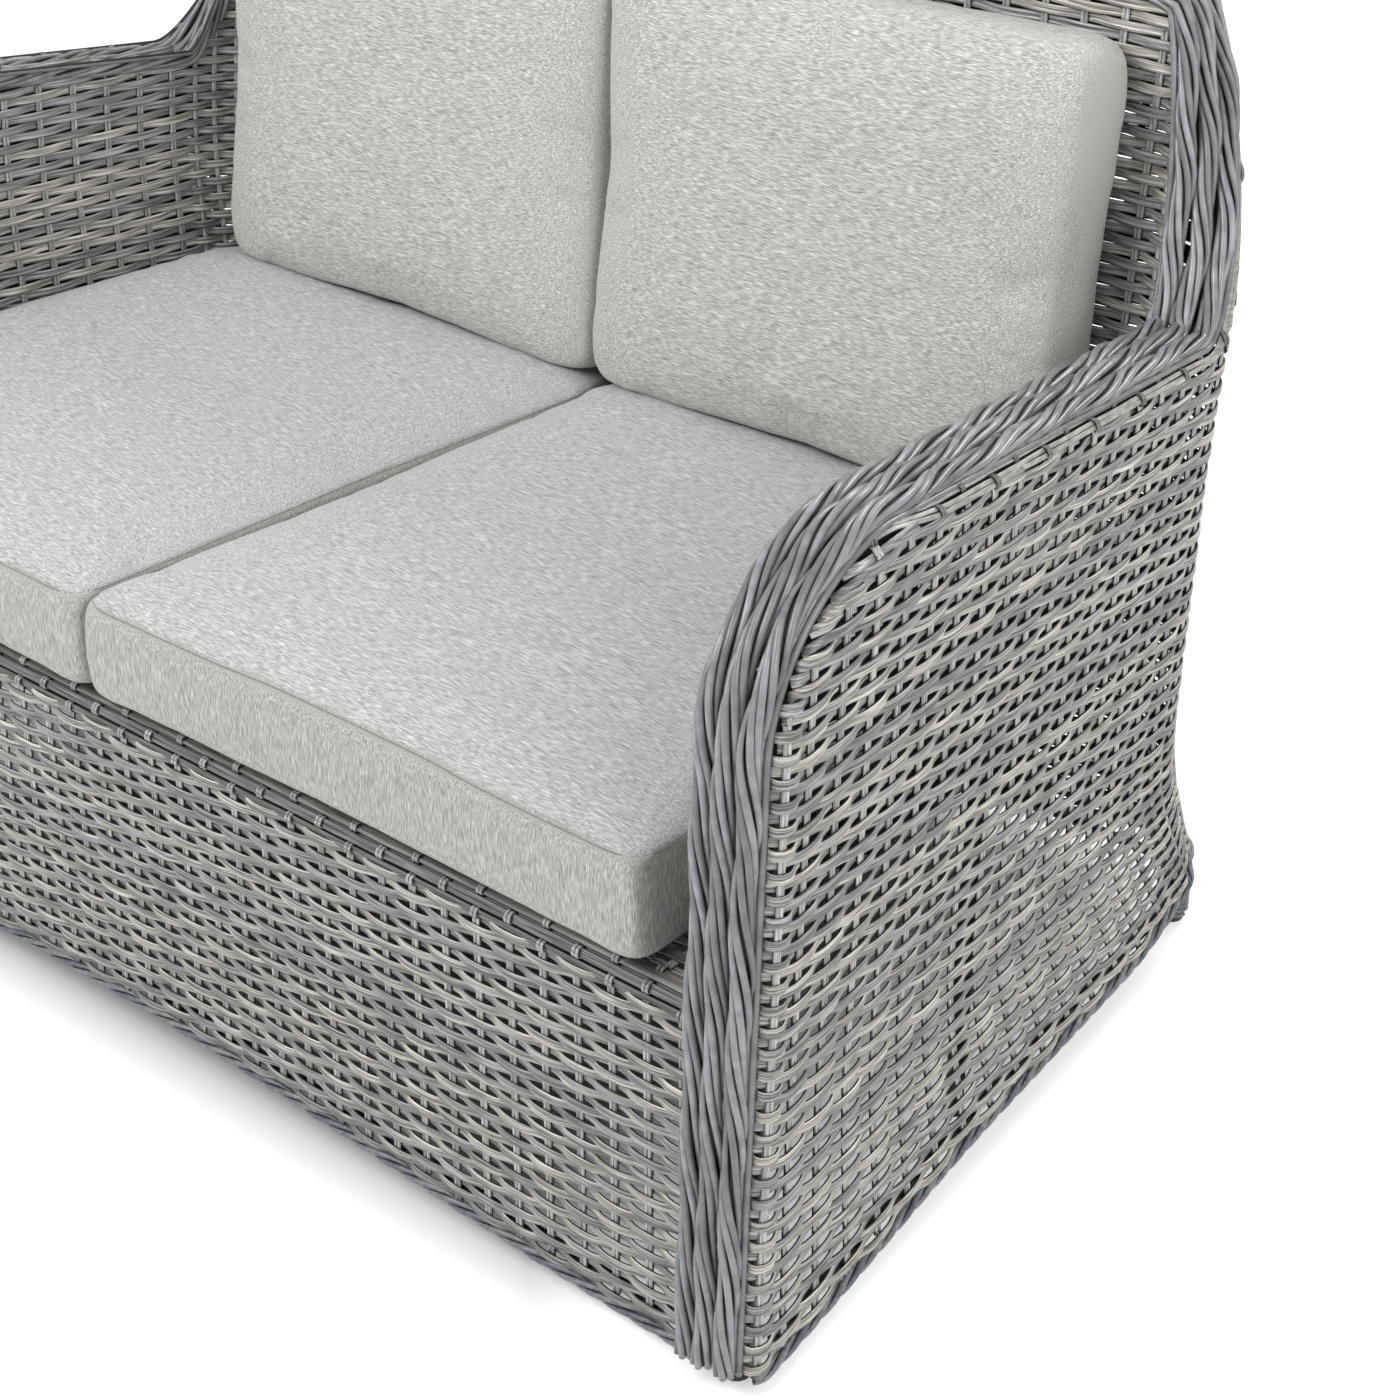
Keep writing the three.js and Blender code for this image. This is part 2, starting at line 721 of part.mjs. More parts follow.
// Outline of a cushion as unit steps round a rounded rectangle, with its long sides drawn in
function cushionOutline(width, length, frontRadius, rearRadius) {
  const outline = [];
  const corners = [
    [1, -1, frontRadius],
    [1, 1, rearRadius],
    [-1, 1, rearRadius],
    [-1, -1, frontRadius],
  ];
  const turnAt = (index, share) => (index - 1 + share) * Math.PI / 2;
  const sideSteps = 6;
  const cornerSteps = 3;
  corners.forEach(([sx, sy, radius], index) => {
    for (let step = 0; step <= cornerSteps; step += 1) {
      const angle = turnAt(index, step / cornerSteps);
      const x = sx * (width / 2 - radius) + radius * Math.cos(angle);
      outline.push([x, sy * (length / 2 - radius) + radius * Math.sin(angle)]);
    }
    const [nx, ny, nextRadius] = corners[(index + 1) % corners.length];
    const nextAngle = turnAt(index, 1);
    const last = outline[outline.length - 1];
    const target = [
      nx * (width / 2 - nextRadius) + nextRadius * Math.cos(nextAngle),
      ny * (length / 2 - nextRadius) + nextRadius * Math.sin(nextAngle),
    ];
    for (let step = 1; step < sideSteps; step += 1) {
      const share = step / sideSteps;
      const pull = cushionDrawIn * Math.sin(Math.PI * share) ** 2;
      const [x, y] = [lerp(last[0], target[0], share), lerp(last[1], target[1], share)];
      const alongY = Math.abs(target[1] - last[1]) > Math.abs(target[0] - last[0]);
      outline.push(alongY ? [x - Math.sign(x) * pull, y] : [x, y - Math.sign(y) * pull]);
    }
  });
  return outline;
}

// A boxed cushion on a flat base: rounded walls between two seams, and a crown over the upper one
function cushion(width, length, wall, crown, frontRadius, rearRadius) {
  const outline = cushionOutline(width, length, frontRadius, rearRadius);
  const count = outline.length;
  const inner = 1 - 2 * cushionBulge / Math.min(width, length);
  const layers = [[inner, 0]];
  const wallShares = [0.12, 0.35, 0.65, 0.88];
  for (const share of wallShares) {
    layers.push([lerp(inner, 1, Math.sin(Math.PI * share) ** 0.6), wall * share]);
  }
  layers.push([inner, wall]);
  const crownShares = [0.93, 0.8, 0.55, 0.28];
  for (const share of crownShares) layers.push([inner * share, wall + crown * (1 - share ** crownPower)]);
  const points = layers.flatMap(([scale, z]) => (
    outline.map(([x, y]) => new THREE.Vector3(x * scale, y * scale, z))
  ));
  const triangles = [];
  for (let layer = 0; layer + 1 < layers.length; layer += 1) {
    for (let step = 0; step < count; step += 1) {
      const [a, b] = [layer * count + step, layer * count + (step + 1) % count];
      triangles.push(a, b, b + count, a, b + count, a + count);
    }
  }
  const [bottom, top] = [points.length, points.length + 1];
  points.push(new THREE.Vector3(0, 0, 0), new THREE.Vector3(0, 0, wall + crown));
  const lastLayer = (layers.length - 1) * count;
  for (let step = 0; step < count; step += 1) {
    const next = (step + 1) % count;
    triangles.push(bottom, next, step, top, lastLayer + step, lastLayer + next);
  }
  return solidFrom(points, triangles);
}

// The seat cushions narrow towards the back, as the space between the arms does
const seatCushionLength = backRestY - seatCushionRearClearance - seatCushionFront;
const seatCushionEnd = seatCushionFront + seatCushionLength - seatCushionRearCorner;
const armFaceX = (y) => sideX(y, seatHeight) - lerp(armThickness, rearArmThickness, easeShare(y / waistY));
const seatFrontSpace = armFaceX(seatCushionFront) - seatCushionFrontClearance;
const seatRearSpace = armFaceX(seatCushionEnd) - seatCushionSideClearance;
const seatCushionWidth = 2 * seatFrontSpace / seatCount - cushionSpacing;
const seatCushionRearWidth = 2 * seatRearSpace / seatCount - cushionSpacing;
const backHalfSpace = skin(2, seatHeight).x;
const backCushionWidth = 2 * (backHalfSpace - backCushionSideClearance) / seatCount - cushionSpacing;

// Draws a cushion's outer side in towards its rear edge, and leaves the side at the gap straight
function tapered(shape, width, length, rearWidth) {
  const { position } = shape.attributes;
  const straight = length - seatCushionRearCorner;
  for (let i = 0; i < position.count; i += 1) {
    const share = clampShare((position.getY(i) + length / 2) / straight);
    const reach = position.getX(i) + width / 2;
    position.setX(i, reach * lerp(1, rearWidth / width, share) - width / 2);
  }
  return shape;
}

function seatCushion() {
  const shape = cushion(
    seatCushionWidth,
    seatCushionLength,
    seatCushionWall,
    seatCushionCrown,
    seatCushionCorner,
    seatCushionRearCorner,
  );
  tapered(shape, seatCushionWidth, seatCushionLength, seatCushionRearWidth);
  const centreX = (seatCushionWidth + cushionSpacing) / seatCount;
  const centreY = seatCushionFront + seatCushionLength / 2;
  return shape.rotateX(-seatSlope).translate(centreX, centreY, deckTop(centreY) + gap);
}

function backCushions() {
  const shape = cushion(
    backCushionWidth,
    backCushionHeight,
    backCushionWall,
    backCushionCrown,
    backCushionCorner,
    backCushionCorner,
  );
  shape.rotateX(Math.PI / 2);
  const seatTop = deckTop(backRestY) + seatCushionWall + seatCushionCrown;
  const baseZ = seatTop - backCushionSink;
  return [['right', 1], ['left', -1]].map(([hand, side]) => {
    const mesh = piece(`back_cushion_${hand}`, shape.clone(), 'fabric');
    mesh.rotation.x = -backRestAngle;
    const rise = backCushionHeight / 2 * Math.cos(backRestAngle);
    const y = backRestAt(baseZ + rise) - backCushionClearance;
    mesh.position.set(side * (backCushionWidth + cushionSpacing) / seatCount, y, baseZ + rise);
    return mesh;
  });
}

// Assembly

const sofa = new THREE.Group();

sofa.add(...pair('arm_hoop', armHoop(), 'aluminium'));
sofa.add(...pair('rear_post', rearPost(), 'aluminium'));
sofa.add(piece('back_top_tube', backTopTube(), 'aluminium'));
sofa.add(piece('back_upright', backUpright(), 'aluminium'));
sofa.add(piece('front_rail', acrossBar(railEnd, railY, railZ, railDiameter, 12), 'aluminium'));
const rearRail = acrossBar(rearRailEnd, rearRailPoint.y, rearRailZ, seatBarDiameter, 10);
sofa.add(piece('rear_rail', rearRail, 'aluminium'));
const sideRailFront = sideX(railY, seatHeight) - armThickness - sideRailInset;
const sideRailRear = rearRailEnd - sideRailInset;
sofa.add(...pair('side_rail', seatBar(sideRailFront, sideRailRear), 'aluminium'));
sofa.add(...pair('seat_bar', seatBar(sideRailRear / 2, sideRailRear / 2), 'aluminium'));
sofa.add(piece('seat_bar_centre', seatBar(0, 0), 'aluminium'));
sofa.add(...pair('arm_strut', armStrut(), 'aluminium'));
sofa.add(...pair('side_bottom_rod', sideRod(), 'aluminium'));
sofa.add(piece('front_bottom_rod', frontRod(), 'aluminium'));
sofa.add(piece('back_bottom_rod', backRod(), 'aluminium'));
const frontGlide = glide(hoopDiameter).translate(legFrame.x, legFrame.y, 0);
const rearGlide = glide(postDiameter).translate(footPoint.x, footPoint.y, 0);
sofa.add(...pair('front_glide', frontGlide, 'plastic'));
sofa.add(...pair('rear_glide', rearGlide, 'plastic'));
sofa.add(...pair('foot_winding', footWinding(), 'strand'));
sofa.add(piece('front_panel', frontPanel(), 'strand'));
sofa.add(piece('rail_cap', railCap(), 'strand'));
sofa.add(...pair('side_panel', sidePanel(), 'strand'));
sofa.add(...pair('arm_inner_panel', armInnerPanel(), 'strand'));
sofa.add(piece('back_outer_panel', backOuterPanel(), 'strand'));
sofa.add(piece('back_inner_panel', backInnerPanel(), 'strand'));
sofa.add(piece('seat_deck', seatDeck(), 'strand'));
sofa.add(...pair('arm_braid', armBraid(), 'braid'));
sofa.add(piece('back_braid', backBraid(), 'braid'));
sofa.add(...pair('side_rope', sideRope(), 'braid'));
sofa.add(piece('front_rope', frontRope(), 'braid'));
sofa.add(piece('back_rope', backRope(), 'braid'));
sofa.add(...pair('seat_cushion', seatCushion(), 'fabric'));
sofa.add(...backCushions());

export default sofa;
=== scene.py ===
"""A woven garden sofa with loose cushions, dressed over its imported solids.

Lengths are in millimetres until a mesh is made; MM turns them into metres.
"""

import math

import bpy
import numpy as np
from mathutils import Matrix, Vector, noise as field
from mathutils.kdtree import KDTree


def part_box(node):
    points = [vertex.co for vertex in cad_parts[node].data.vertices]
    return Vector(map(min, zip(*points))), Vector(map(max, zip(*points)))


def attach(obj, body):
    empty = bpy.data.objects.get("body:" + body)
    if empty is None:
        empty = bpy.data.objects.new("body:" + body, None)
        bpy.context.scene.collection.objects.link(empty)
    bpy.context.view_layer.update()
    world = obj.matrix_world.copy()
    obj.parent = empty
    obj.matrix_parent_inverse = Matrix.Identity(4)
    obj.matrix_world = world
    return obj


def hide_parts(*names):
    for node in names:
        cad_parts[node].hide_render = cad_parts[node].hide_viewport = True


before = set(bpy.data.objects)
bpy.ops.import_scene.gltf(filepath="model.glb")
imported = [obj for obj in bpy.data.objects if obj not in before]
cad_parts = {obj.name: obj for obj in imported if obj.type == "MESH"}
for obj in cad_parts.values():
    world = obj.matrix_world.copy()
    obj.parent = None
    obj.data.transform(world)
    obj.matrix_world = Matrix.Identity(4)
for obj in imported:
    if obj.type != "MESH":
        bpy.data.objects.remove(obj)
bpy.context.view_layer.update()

MM = 0.001
rng = np.random.default_rng(12)
scene = bpy.context.scene

# Sizes that the solids share
FRONT_HALF_WIDTH, REAR_HALF_WIDTH = 733, 629
BODY_FRONT_Y, WAIST_Y = -388, 343
CORNER_RADIUS, FOOT_CORNER_RADIUS, CORNER_GROW_HEIGHT = 110, 25, 250
ARM_HEIGHT, ARM_DIP, ARM_FLARE = 662, 47, 25
ARCH_LENGTH, ARCH_HEIGHT = 140, 120
BACK_HEIGHT, BACK_CROWN = 865, 10
RECLINE_DEPTH, RECLINE_START, RECLINE_POWER = 65, 480, 1.6
FOOT_SWEEP, FOOT_SWEEP_HEIGHT = 60, 300
SWEEP_START, SWEEP_END = 1, 2.2
ARM_THICKNESS, REAR_ARM_THICKNESS = 70, 60
FRONT_PANEL_Y, FRONT_EDGE, FRONT_ARCH = -384, 15, 23
SIDE_EDGE_FRONT, SIDE_EDGE_REAR, FOOT_LIFT = 22, 40, 58
SEAT_HEIGHT, SEAT_SLOPE = 330, math.radians(1)
BACK_REST_Y, BACK_REST_ANGLE = 281, math.radians(6)
BRAID_FOOT, SHOULDER_WIDTH = 22, 16
RAIL_DIAMETER, SHEET, GAP = 28, 5, 0.3
RAIL_Y = FRONT_PANEL_Y + SHEET + GAP + RAIL_DIAMETER / 2
RAIL_Z = SEAT_HEIGHT - SHEET - GAP - RAIL_DIAMETER / 2
FOOT_LIFT_START, FOOT_LIFT_RISE = 0.8, 0.4
FOOT_LIFT_END, FOOT_LIFT_FALL = 2.4, 0.5

# Weave
EDGE_RADIUS = 14
STAKE_SPACING, FRONT_STAKE_SPACING = 38.4, 34
FIRST_STAKE, SECOND_STAKE = 6, 34
ROW_PITCH = 9
STRAND_WIDTH, STRAND_THICKNESS = 4.1, 2.7
STAKE_WIDTH = 3.5
WEAVE_SWING = 2.5
TUCK, ARCH_TUCK = 20, 9
CORD_START, CORD_CLEAR = 85, 200
CORD_GAPS = (-7, 3.2)
RAIL_STRAND = 3.7
RAIL_ANGLES = np.radians([188, 155, 122, 89])
DECK_HALF_FRONT, DECK_HALF_REAR = 655, 590
SIDE_OVERLAP = 8
TINY = 1e-9


def clamp(v):
    return np.clip(v, 0, 1)


def ease(v):
    v = clamp(v)
    return v * v * (3 - 2 * v)


def lerp(a, b, t):
    return a + (b - a) * t


def matched(*values):
    return np.broadcast_arrays(*(np.asarray(v, float) for v in values))


def unit(vectors):
    return vectors / (np.linalg.norm(vectors, axis=-1, keepdims=True) + 1e-12)


# Outer skin of the body, as in the solids


def back_y(z):
    sweep = FOOT_SWEEP * clamp(1 - z / FOOT_SWEEP_HEIGHT) ** 2
    lean = clamp((z - RECLINE_START) / (BACK_HEIGHT - RECLINE_START)) ** RECLINE_POWER
    return WAIST_Y + sweep + RECLINE_DEPTH * lean


def side_x(y, z):
    share = (y - BODY_FRONT_Y) / (WAIST_Y - BODY_FRONT_Y)
    flare = ARM_FLARE * (z - SEAT_HEIGHT) / ARM_HEIGHT
    return lerp(FRONT_HALF_WIDTH, REAR_HALF_WIDTH, share) + flare


def corner_at(z):
    return lerp(FOOT_CORNER_RADIUS, CORNER_RADIUS, ease(z / CORNER_GROW_HEIGHT))


def side_length(z):
    return back_y(z) - corner_at(z) - BODY_FRONT_Y


def back_rest(z):
    return BACK_REST_Y + (z - SEAT_HEIGHT) * math.tan(BACK_REST_ANGLE)


def wall(station, z):
    arm = lerp(ARM_THICKNESS, REAR_ARM_THICKNESS, clamp(station))
    return lerp(arm, back_y(z) - back_rest(z), ease(station - 1))


def inward(station):
    turn = clamp(station - 1) * math.pi / 2
    return np.stack([-np.cos(turn), -np.sin(turn), np.zeros_like(turn)], -1)


def skin(station, z):
    station, z = matched(station, z)
    turn = clamp(station - 1) * math.pi / 2
    radius = corner_at(z)
    y = BODY_FRONT_Y + side_length(z) * clamp(station) + radius * np.sin(turn)
    y = np.where(station < 0, BODY_FRONT_Y + side_length(z) * station, y)
    x = side_x(y, z) - radius * (1 - np.cos(turn))
    return np.stack([x * (3 - np.maximum(station, 2)), y, z], -1)


def within(station, z, depth):
    return skin(station, z) + inward(np.asarray(station, float)) * np.asarray(depth)[..., None]


ARM_START = ARCH_LENGTH / side_length(ARM_HEIGHT)


def rim_height(station):
    station = np.asarray(station, float)
    along = np.clip(station, 0, None) * side_length(ARM_HEIGHT)
    rise = np.sqrt(np.clip(1 - (1 - np.minimum(along / ARCH_LENGTH, 1)) ** 2, 0, 1))
    arch = ARM_HEIGHT - ARCH_HEIGHT * (1 - rise)
    arm_top = ARM_HEIGHT - ARM_DIP * clamp((station - ARM_START) / (SWEEP_START - ARM_START))
    crown = BACK_CROWN * ease((station - SWEEP_END) / (3 - SWEEP_END))
    swept = lerp(arm_top, BACK_HEIGHT, ease((station - SWEEP_START) / (SWEEP_END - SWEEP_START))) + crown
    return np.where(along < ARCH_LENGTH, arch, swept)


def side_edge(station):
    station = np.asarray(station, float)
    rise = ease((station - FOOT_LIFT_START) / FOOT_LIFT_RISE)
    fall = ease((FOOT_LIFT_END - station) / FOOT_LIFT_FALL)
    return lerp(SIDE_EDGE_FRONT, SIDE_EDGE_REAR, ease(2 * station)) + FOOT_LIFT * rise * fall


FRONT_SPAN = FRONT_HALF_WIDTH - ARM_THICKNESS


def front_edge(x):
    return FRONT_EDGE + FRONT_ARCH * ease(1 - np.abs(x) / FRONT_SPAN)


def deck_top(y):
    return SEAT_HEIGHT - (y - RAIL_Y) * math.sin(SEAT_SLOPE)


# Path round the outside: a length from the right front edge, round the back, to the left front edge
SIDE_RUN = float(side_length(SEAT_HEIGHT))
CORNER_RUN = CORNER_RADIUS * math.pi / 2
BACK_RUN = float(skin(2.0, SEAT_HEIGHT)[0])
HALF_RUN = SIDE_RUN + CORNER_RUN + BACK_RUN


def from_front(q):
    """Length from the nearer front edge."""
    return np.minimum(q, 2 * HALF_RUN - q)


def station_at(q):
    q = from_front(q)
    side = q / SIDE_RUN
    corner = 1 + (q - SIDE_RUN) / CORNER_RUN
    back = 2 + (q - SIDE_RUN - CORNER_RUN) / BACK_RUN
    return np.where(q < SIDE_RUN, side, np.where(q < SIDE_RUN + CORNER_RUN, corner, back))


def rim_gap(s, z):
    """Distance over the outer skin to the edge under the rim, at a length s from the front edge."""
    slope = (rim_height(station_at(s + 1)) - rim_height(station_at(s - 1))) / 2
    top = (rim_height(station_at(s)) - z) / np.sqrt(1 + slope**2)
    u = (ARCH_LENGTH - s) / ARCH_LENGTH
    v = np.maximum((z - ARM_HEIGHT + ARCH_HEIGHT) / ARCH_HEIGHT, 0)
    reach = np.hypot(u, v) + TINY
    arch = (1 - reach) * reach / (np.hypot(u / ARCH_LENGTH, v / ARCH_HEIGHT) + TINY)
    return np.where(s < ARCH_LENGTH, arch, top)


def mirrored_past_middle(points, q):
    points[..., 0] *= np.where(q > HALF_RUN, -1, 1)
    return points


def outer_point(q, z):
    """A point of the outer skin, which rolls inwards over a round edge at the front and under the rim."""
    q, z = matched(q, z)
    s = from_front(q)
    gap = rim_gap(s, z)
    along = rim_gap(s + 0.5, z) - rim_gap(s - 0.5, z)
    up = rim_gap(s, z + 0.5) - rim_gap(s, z - 0.5)
    size = np.hypot(along, up) + TINY
    arc = np.maximum(EDGE_RADIUS - gap, 0)
    angle = np.minimum(arc / EDGE_RADIUS, math.pi / 2)
    back = arc - EDGE_RADIUS * np.sin(angle)
    depth = EDGE_RADIUS * (1 - np.cos(angle)) + np.maximum(arc - EDGE_RADIUS * math.pi / 2, 0)
    points = within(station_at(s + along / size * back), z + up / size * back, depth)
    return mirrored_past_middle(points, q)


def inner_point(q, z):
    q, z = matched(q, z)
    station = station_at(q)
    return mirrored_past_middle(within(station, z, wall(station, z)), q)


def on_surface(point, u, v, sign=1):
    """Points of a surface and its normals."""
    along = point(u + 0.5, v) - point(u - 0.5, v)
    up = point(u, v + 0.5) - point(u, v - 0.5)
    return point(u, v), unit(np.cross(along, up)) * sign


# Strand meshes

# Tone of the dark material on faces against the work and on tube ends: painted shade, not the strands' own
# colour
PAINTED_SHADE = -1
SHADED_FACES = 3


class Strands:
    """Collects tubes and makes one mesh of them; the tone of a face counts the materials."""

    def __init__(self):
        self.points, self.quads, self.ends, self.tones = [], [], [], []
        self.end_tones, self.count = [], 0

    def tube(self, centres, normals, section, tone):
        """Carries a section along the centres; its first faces lie against the work and, with the two end
        caps, get the dark material of painted shade.
        """
        tangent = unit(np.gradient(centres, axis=0))
        across = unit(np.cross(tangent, normals))
        out = np.cross(across, tangent)
        sides = len(section)
        a, b = section[:, 0], section[:, 1]
        ring = centres[:, None] + across[:, None] * a[None, :, None] + out[:, None] * b[None, :, None]
        n = len(centres)
        self.points.append(ring.reshape(-1, 3))
        index = self.count + np.arange(n * sides).reshape(n, sides)
        after = np.roll(index, -1, axis=1)
        quads = np.stack([index[:-1], index[1:], after[1:], after[:-1]], -1).reshape(-1, 4)
        self.quads.append(quads)
        self.tones.append(np.tile(np.where(np.arange(sides) < SHADED_FACES, PAINTED_SHADE, tone), n - 1))
        self.ends += [index[0], index[-1][::-1]]
        self.end_tones += [PAINTED_SHADE, PAINTED_SHADE]
        self.count += n * sides

    def mesh(self, name, materials):
        """The mesh of all tubes; the last material is the dark one of painted shade."""
        points = np.concatenate(self.points) * MM
        quads = np.concatenate(self.quads)
        loops = np.concatenate([quads.ravel(), *self.ends]).astype(np.int32)
        totals = np.concatenate([np.full(len(quads), 4), [len(e) for e in self.ends]]).astype(np.int32)
        starts = np.concatenate([[0], np.cumsum(totals)[:-1]]).astype(np.int32)
        mesh = bpy.data.meshes.new(name)
        mesh.vertices.add(len(points))
        mesh.vertices.foreach_set("co", points.astype(np.float32).ravel())
        mesh.loops.add(len(loops))
        mesh.loops.foreach_set("vertex_index", loops)
        mesh.polygons.add(len(totals))
        mesh.polygons.foreach_set("loop_start", starts)
        mesh.polygons.foreach_set("loop_total", totals)
        tones = np.concatenate([*self.tones, self.end_tones]).astype(np.int32) % len(materials)
        for material in materials:
            mesh.materials.append(material)
        mesh.polygons.foreach_set("material_index", tones)
        mesh.polygons.foreach_set("use_smooth", np.ones(len(totals), bool))
        mesh.update(calc_edges=True)
        mesh.validate()
        return mesh

    def build(self, name, materials, slot, replaces):
        obj = bpy.data.objects.new(name, self.mesh(name, materials))
        scene.collection.objects.link(obj)
        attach(obj, "body")
        if replaces:
            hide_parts(*replaces)


# Sections as (across, out) in half widths and half heights; their first faces lie against the work and get
# painted shade
BACK_CORNERS = [(-1, -0.7), (1, -0.7)]
RIDGES = [(0.66, 0.95), (0.36, 0.6), (0, 1.05), (-0.36, 0.6), (-0.66, 0.95)]
TWIN_RIDGES = [(0.72, 0.95), (0.3, 0.85), (0, -0.1), (-0.3, 0.85), (-0.72, 0.95)]
RIDGED = [(-1, 0.25), *BACK_CORNERS, (1, 0.25), *RIDGES]
DOUBLE = [(-1, 0.2), *BACK_CORNERS, (1, 0.2), *TWIN_RIDGES]
PLAIN = [(-1, 0.1), *BACK_CORNERS, (1, 0.1), (0.55, 0.85), (0, 1), (-0.55, 0.85)]


def strip(outline, width, thickness):
    return np.array(outline) * [width / 2, thickness / 2]


def round_section(width, height, sides=8):
    angle = (np.arange(sides) - SHADED_FACES / 2) * 2 * math.pi / sides - math.pi / 2
    return np.stack([width / 2 * np.cos(angle), height / 2 * np.sin(angle)], -1)


# Materials

TEXTURE_STEP, SHADE_OFFSET = 3.1, 9.0


def node(tree, kind, **values):
    made = tree.nodes.new(kind)
    for key, value in values.items():
        if key in made.inputs:
            made.inputs[key].default_value = value
        else:
            setattr(made, key, value)
    return made


def shader(name, roughness, **values):
    material = bpy.data.materials.new(name)
    material.use_nodes = True
    tree = material.node_tree
    principled = tree.nodes["Principled BSDF"]
    principled.inputs["Roughness"].default_value = roughness
    for key, value in values.items():
        principled.inputs[key].default_value = value
    return material, tree, principled


def ramp(tree, factor, stops):
    made = tree.nodes.new("ShaderNodeValToRGB")
    while len(made.color_ramp.elements) < len(stops):
        made.color_ramp.elements.new(0.5)
    for element, (place, colour) in zip(made.color_ramp.elements, stops):
        element.position = place
        element.color = (*colour, 1)
    tree.links.new(factor, made.inputs["Fac"])
    return made.outputs["Color"]


def noise(tree, scale, stretch=(1, 1, 1), detail=2.0, offset=0.0):
    coordinates = tree.nodes.new("ShaderNodeTexCoord")
    mapping = tree.nodes.new("ShaderNodeMapping")
    mapping.inputs["Scale"].default_value = stretch
    mapping.inputs["Location"].default_value = (offset, offset, offset)
    made = node(tree, "ShaderNodeTexNoise", Scale=scale, Detail=detail)
    tree.links.new(coordinates.outputs["Object"], mapping.inputs["Vector"])
    tree.links.new(mapping.outputs["Vector"], made.inputs["Vector"])
    return made.outputs["Fac"]


def bump(tree, principled, height, strength, distance):
    made = node(tree, "ShaderNodeBump", Strength=strength, Distance=distance)
    tree.links.new(height, made.inputs["Height"])
    tree.links.new(made.outputs["Normal"], principled.inputs["Normal"])


def srgb(*values):
    return tuple(((v / 255 + 0.055) / 1.055) ** 2.4 if v > 10 else v / 255 / 12.92 for v in values)


def colour_by(tree, principled, factor, tones, places):
    """Colours a surface by a noise, with one tone at each of the noise's places."""
    stops = [(place, srgb(*tone)) for place, tone in zip(places, tones)]
    tree.links.new(ramp(tree, factor, stops), principled.inputs["Base Color"])


def strand_material(name, tones, roughness, offset, stretch, relief):
    material, tree, principled = shader(name, roughness)
    streaks = noise(tree, 1, stretch, 3.0, offset)
    # The streaks stand for the resin's own marbling; where a set's spread is wide, its light streaks also
    # paint highlight lines along the strands
    colour_by(tree, principled, streaks, tones, (0.34, 0.5, 0.66))
    bump(tree, principled, streaks, strength=relief, distance=0.4 * MM)
    return material


def greys(middle, warmth, spread):
    """Dark, middle and light tones about a grey level; warmth tips them from blue to beige."""
    tints = np.array([warmth, warmth * 0.4, -warmth])
    return [tuple(middle * share + tints) for share in (1 - spread, 1, 1 + spread)]


def strand_set(name, levels, roughness, stretch, spread, shade=40, relief=0.3):
    """Materials of one kind of strand, as (grey level, warmth), and last the dark one painted as shade on
    its faces against the work.
    """
    made = []
    for number, (middle, warmth) in enumerate(levels):
        tones = greys(middle, warmth, spread)
        offset = number * TEXTURE_STEP
        made.append(strand_material(f"{name}_{number}", tones, roughness, offset, stretch, relief))
    dark = greys(shade, 0, 0.2)
    made.append(strand_material(f"{name}_shade", dark, 0.7, SHADE_OFFSET, stretch, relief=0.3))
    return made


# The rows' wide spread of streak tones paints light highlight lines along the strands, besides the resin's
# own marbling
ROW_LEVELS = [(150, 2), (138, 1), (158, 5), (144, -1), (170, 6), (130, 2)]
ROW_STRANDS = strand_set("strand", ROW_LEVELS, roughness=0.28, stretch=(22, 22, 900), spread=0.34)
# The stakes are painted lighter than the rows: their own tone plus a painted highlight on the round stakes
STAKE_LEVELS_WITH_PAINTED_HIGHLIGHT = [(168, 1), (156, 2), (174, 3), (150, 0)]
UPRIGHT_STRANDS = strand_set("stake", STAKE_LEVELS_WITH_PAINTED_HIGHLIGHT, roughness=0.28, stretch=(900, 900, 25), spread=0.24)
# The rail's strands are painted darker than the other rows: a painted shadow of the overhanging seat
# cushions. The ties keep lighter tones.
RAIL_LEVELS_IN_PAINTED_SHADOW = [(112, 4), (104, 2), (122, 6), (108, 1), (128, 6), (98, 2)]
RAIL_TIE_LEVELS = [(156, 3), (144, 2)]
RAIL_STRANDS = strand_set(
    "rail_strand", RAIL_LEVELS_IN_PAINTED_SHADOW + RAIL_TIE_LEVELS, roughness=0.3, stretch=(25, 700, 700), spread=0.3
)
CORD_LEVELS = [(172, 5), (158, 4), (146, 2)]
CORD_TIE_LEVELS = [(104, 2), (114, 1)]
CORD_STRANDS = strand_set(
    "cord", CORD_LEVELS + CORD_TIE_LEVELS, roughness=0.3, stretch=(300, 60, 500), spread=0.16, relief=0.1
)
BRAID_LEVELS = [(132, -2), (148, -3), (118, -1), (140, -1)]
BRAID = strand_set(
    "braid", BRAID_LEVELS, roughness=0.17, stretch=(60, 60, 60), spread=0.1, shade=26, relief=0
)
ROPE_LEVELS = [(98, -6), (110, -5), (118, -3)]
ROPE = strand_set(
    "rope", ROPE_LEVELS, roughness=0.3, stretch=(200, 200, 200), spread=0.16, shade=30, relief=0.1
)


def fabric_material(name, stretch, middle, warmth):
    material, tree, principled = shader(name, 0.92)
    principled.inputs["Sheen Weight"].default_value = 0.15
    slub = noise(tree, 1, stretch, 2.0)
    colour_by(tree, principled, slub, greys(middle, warmth, 0.29), (0.25, 0.5, 0.75))
    bump(tree, principled, slub, strength=0.35, distance=0.6 * MM)
    return material


def plain_material(name, colour, roughness, metallic, scale, strength):
    material, tree, principled = shader(name, roughness, Metallic=metallic)
    lighter = tuple(min(255, v * 1.12) for v in colour)
    fine = noise(tree, scale)
    colour_by(tree, principled, fine, (colour, lighter), (0.3, 0.7))
    bump(tree, principled, fine, strength, 0.3 * MM)
    return material
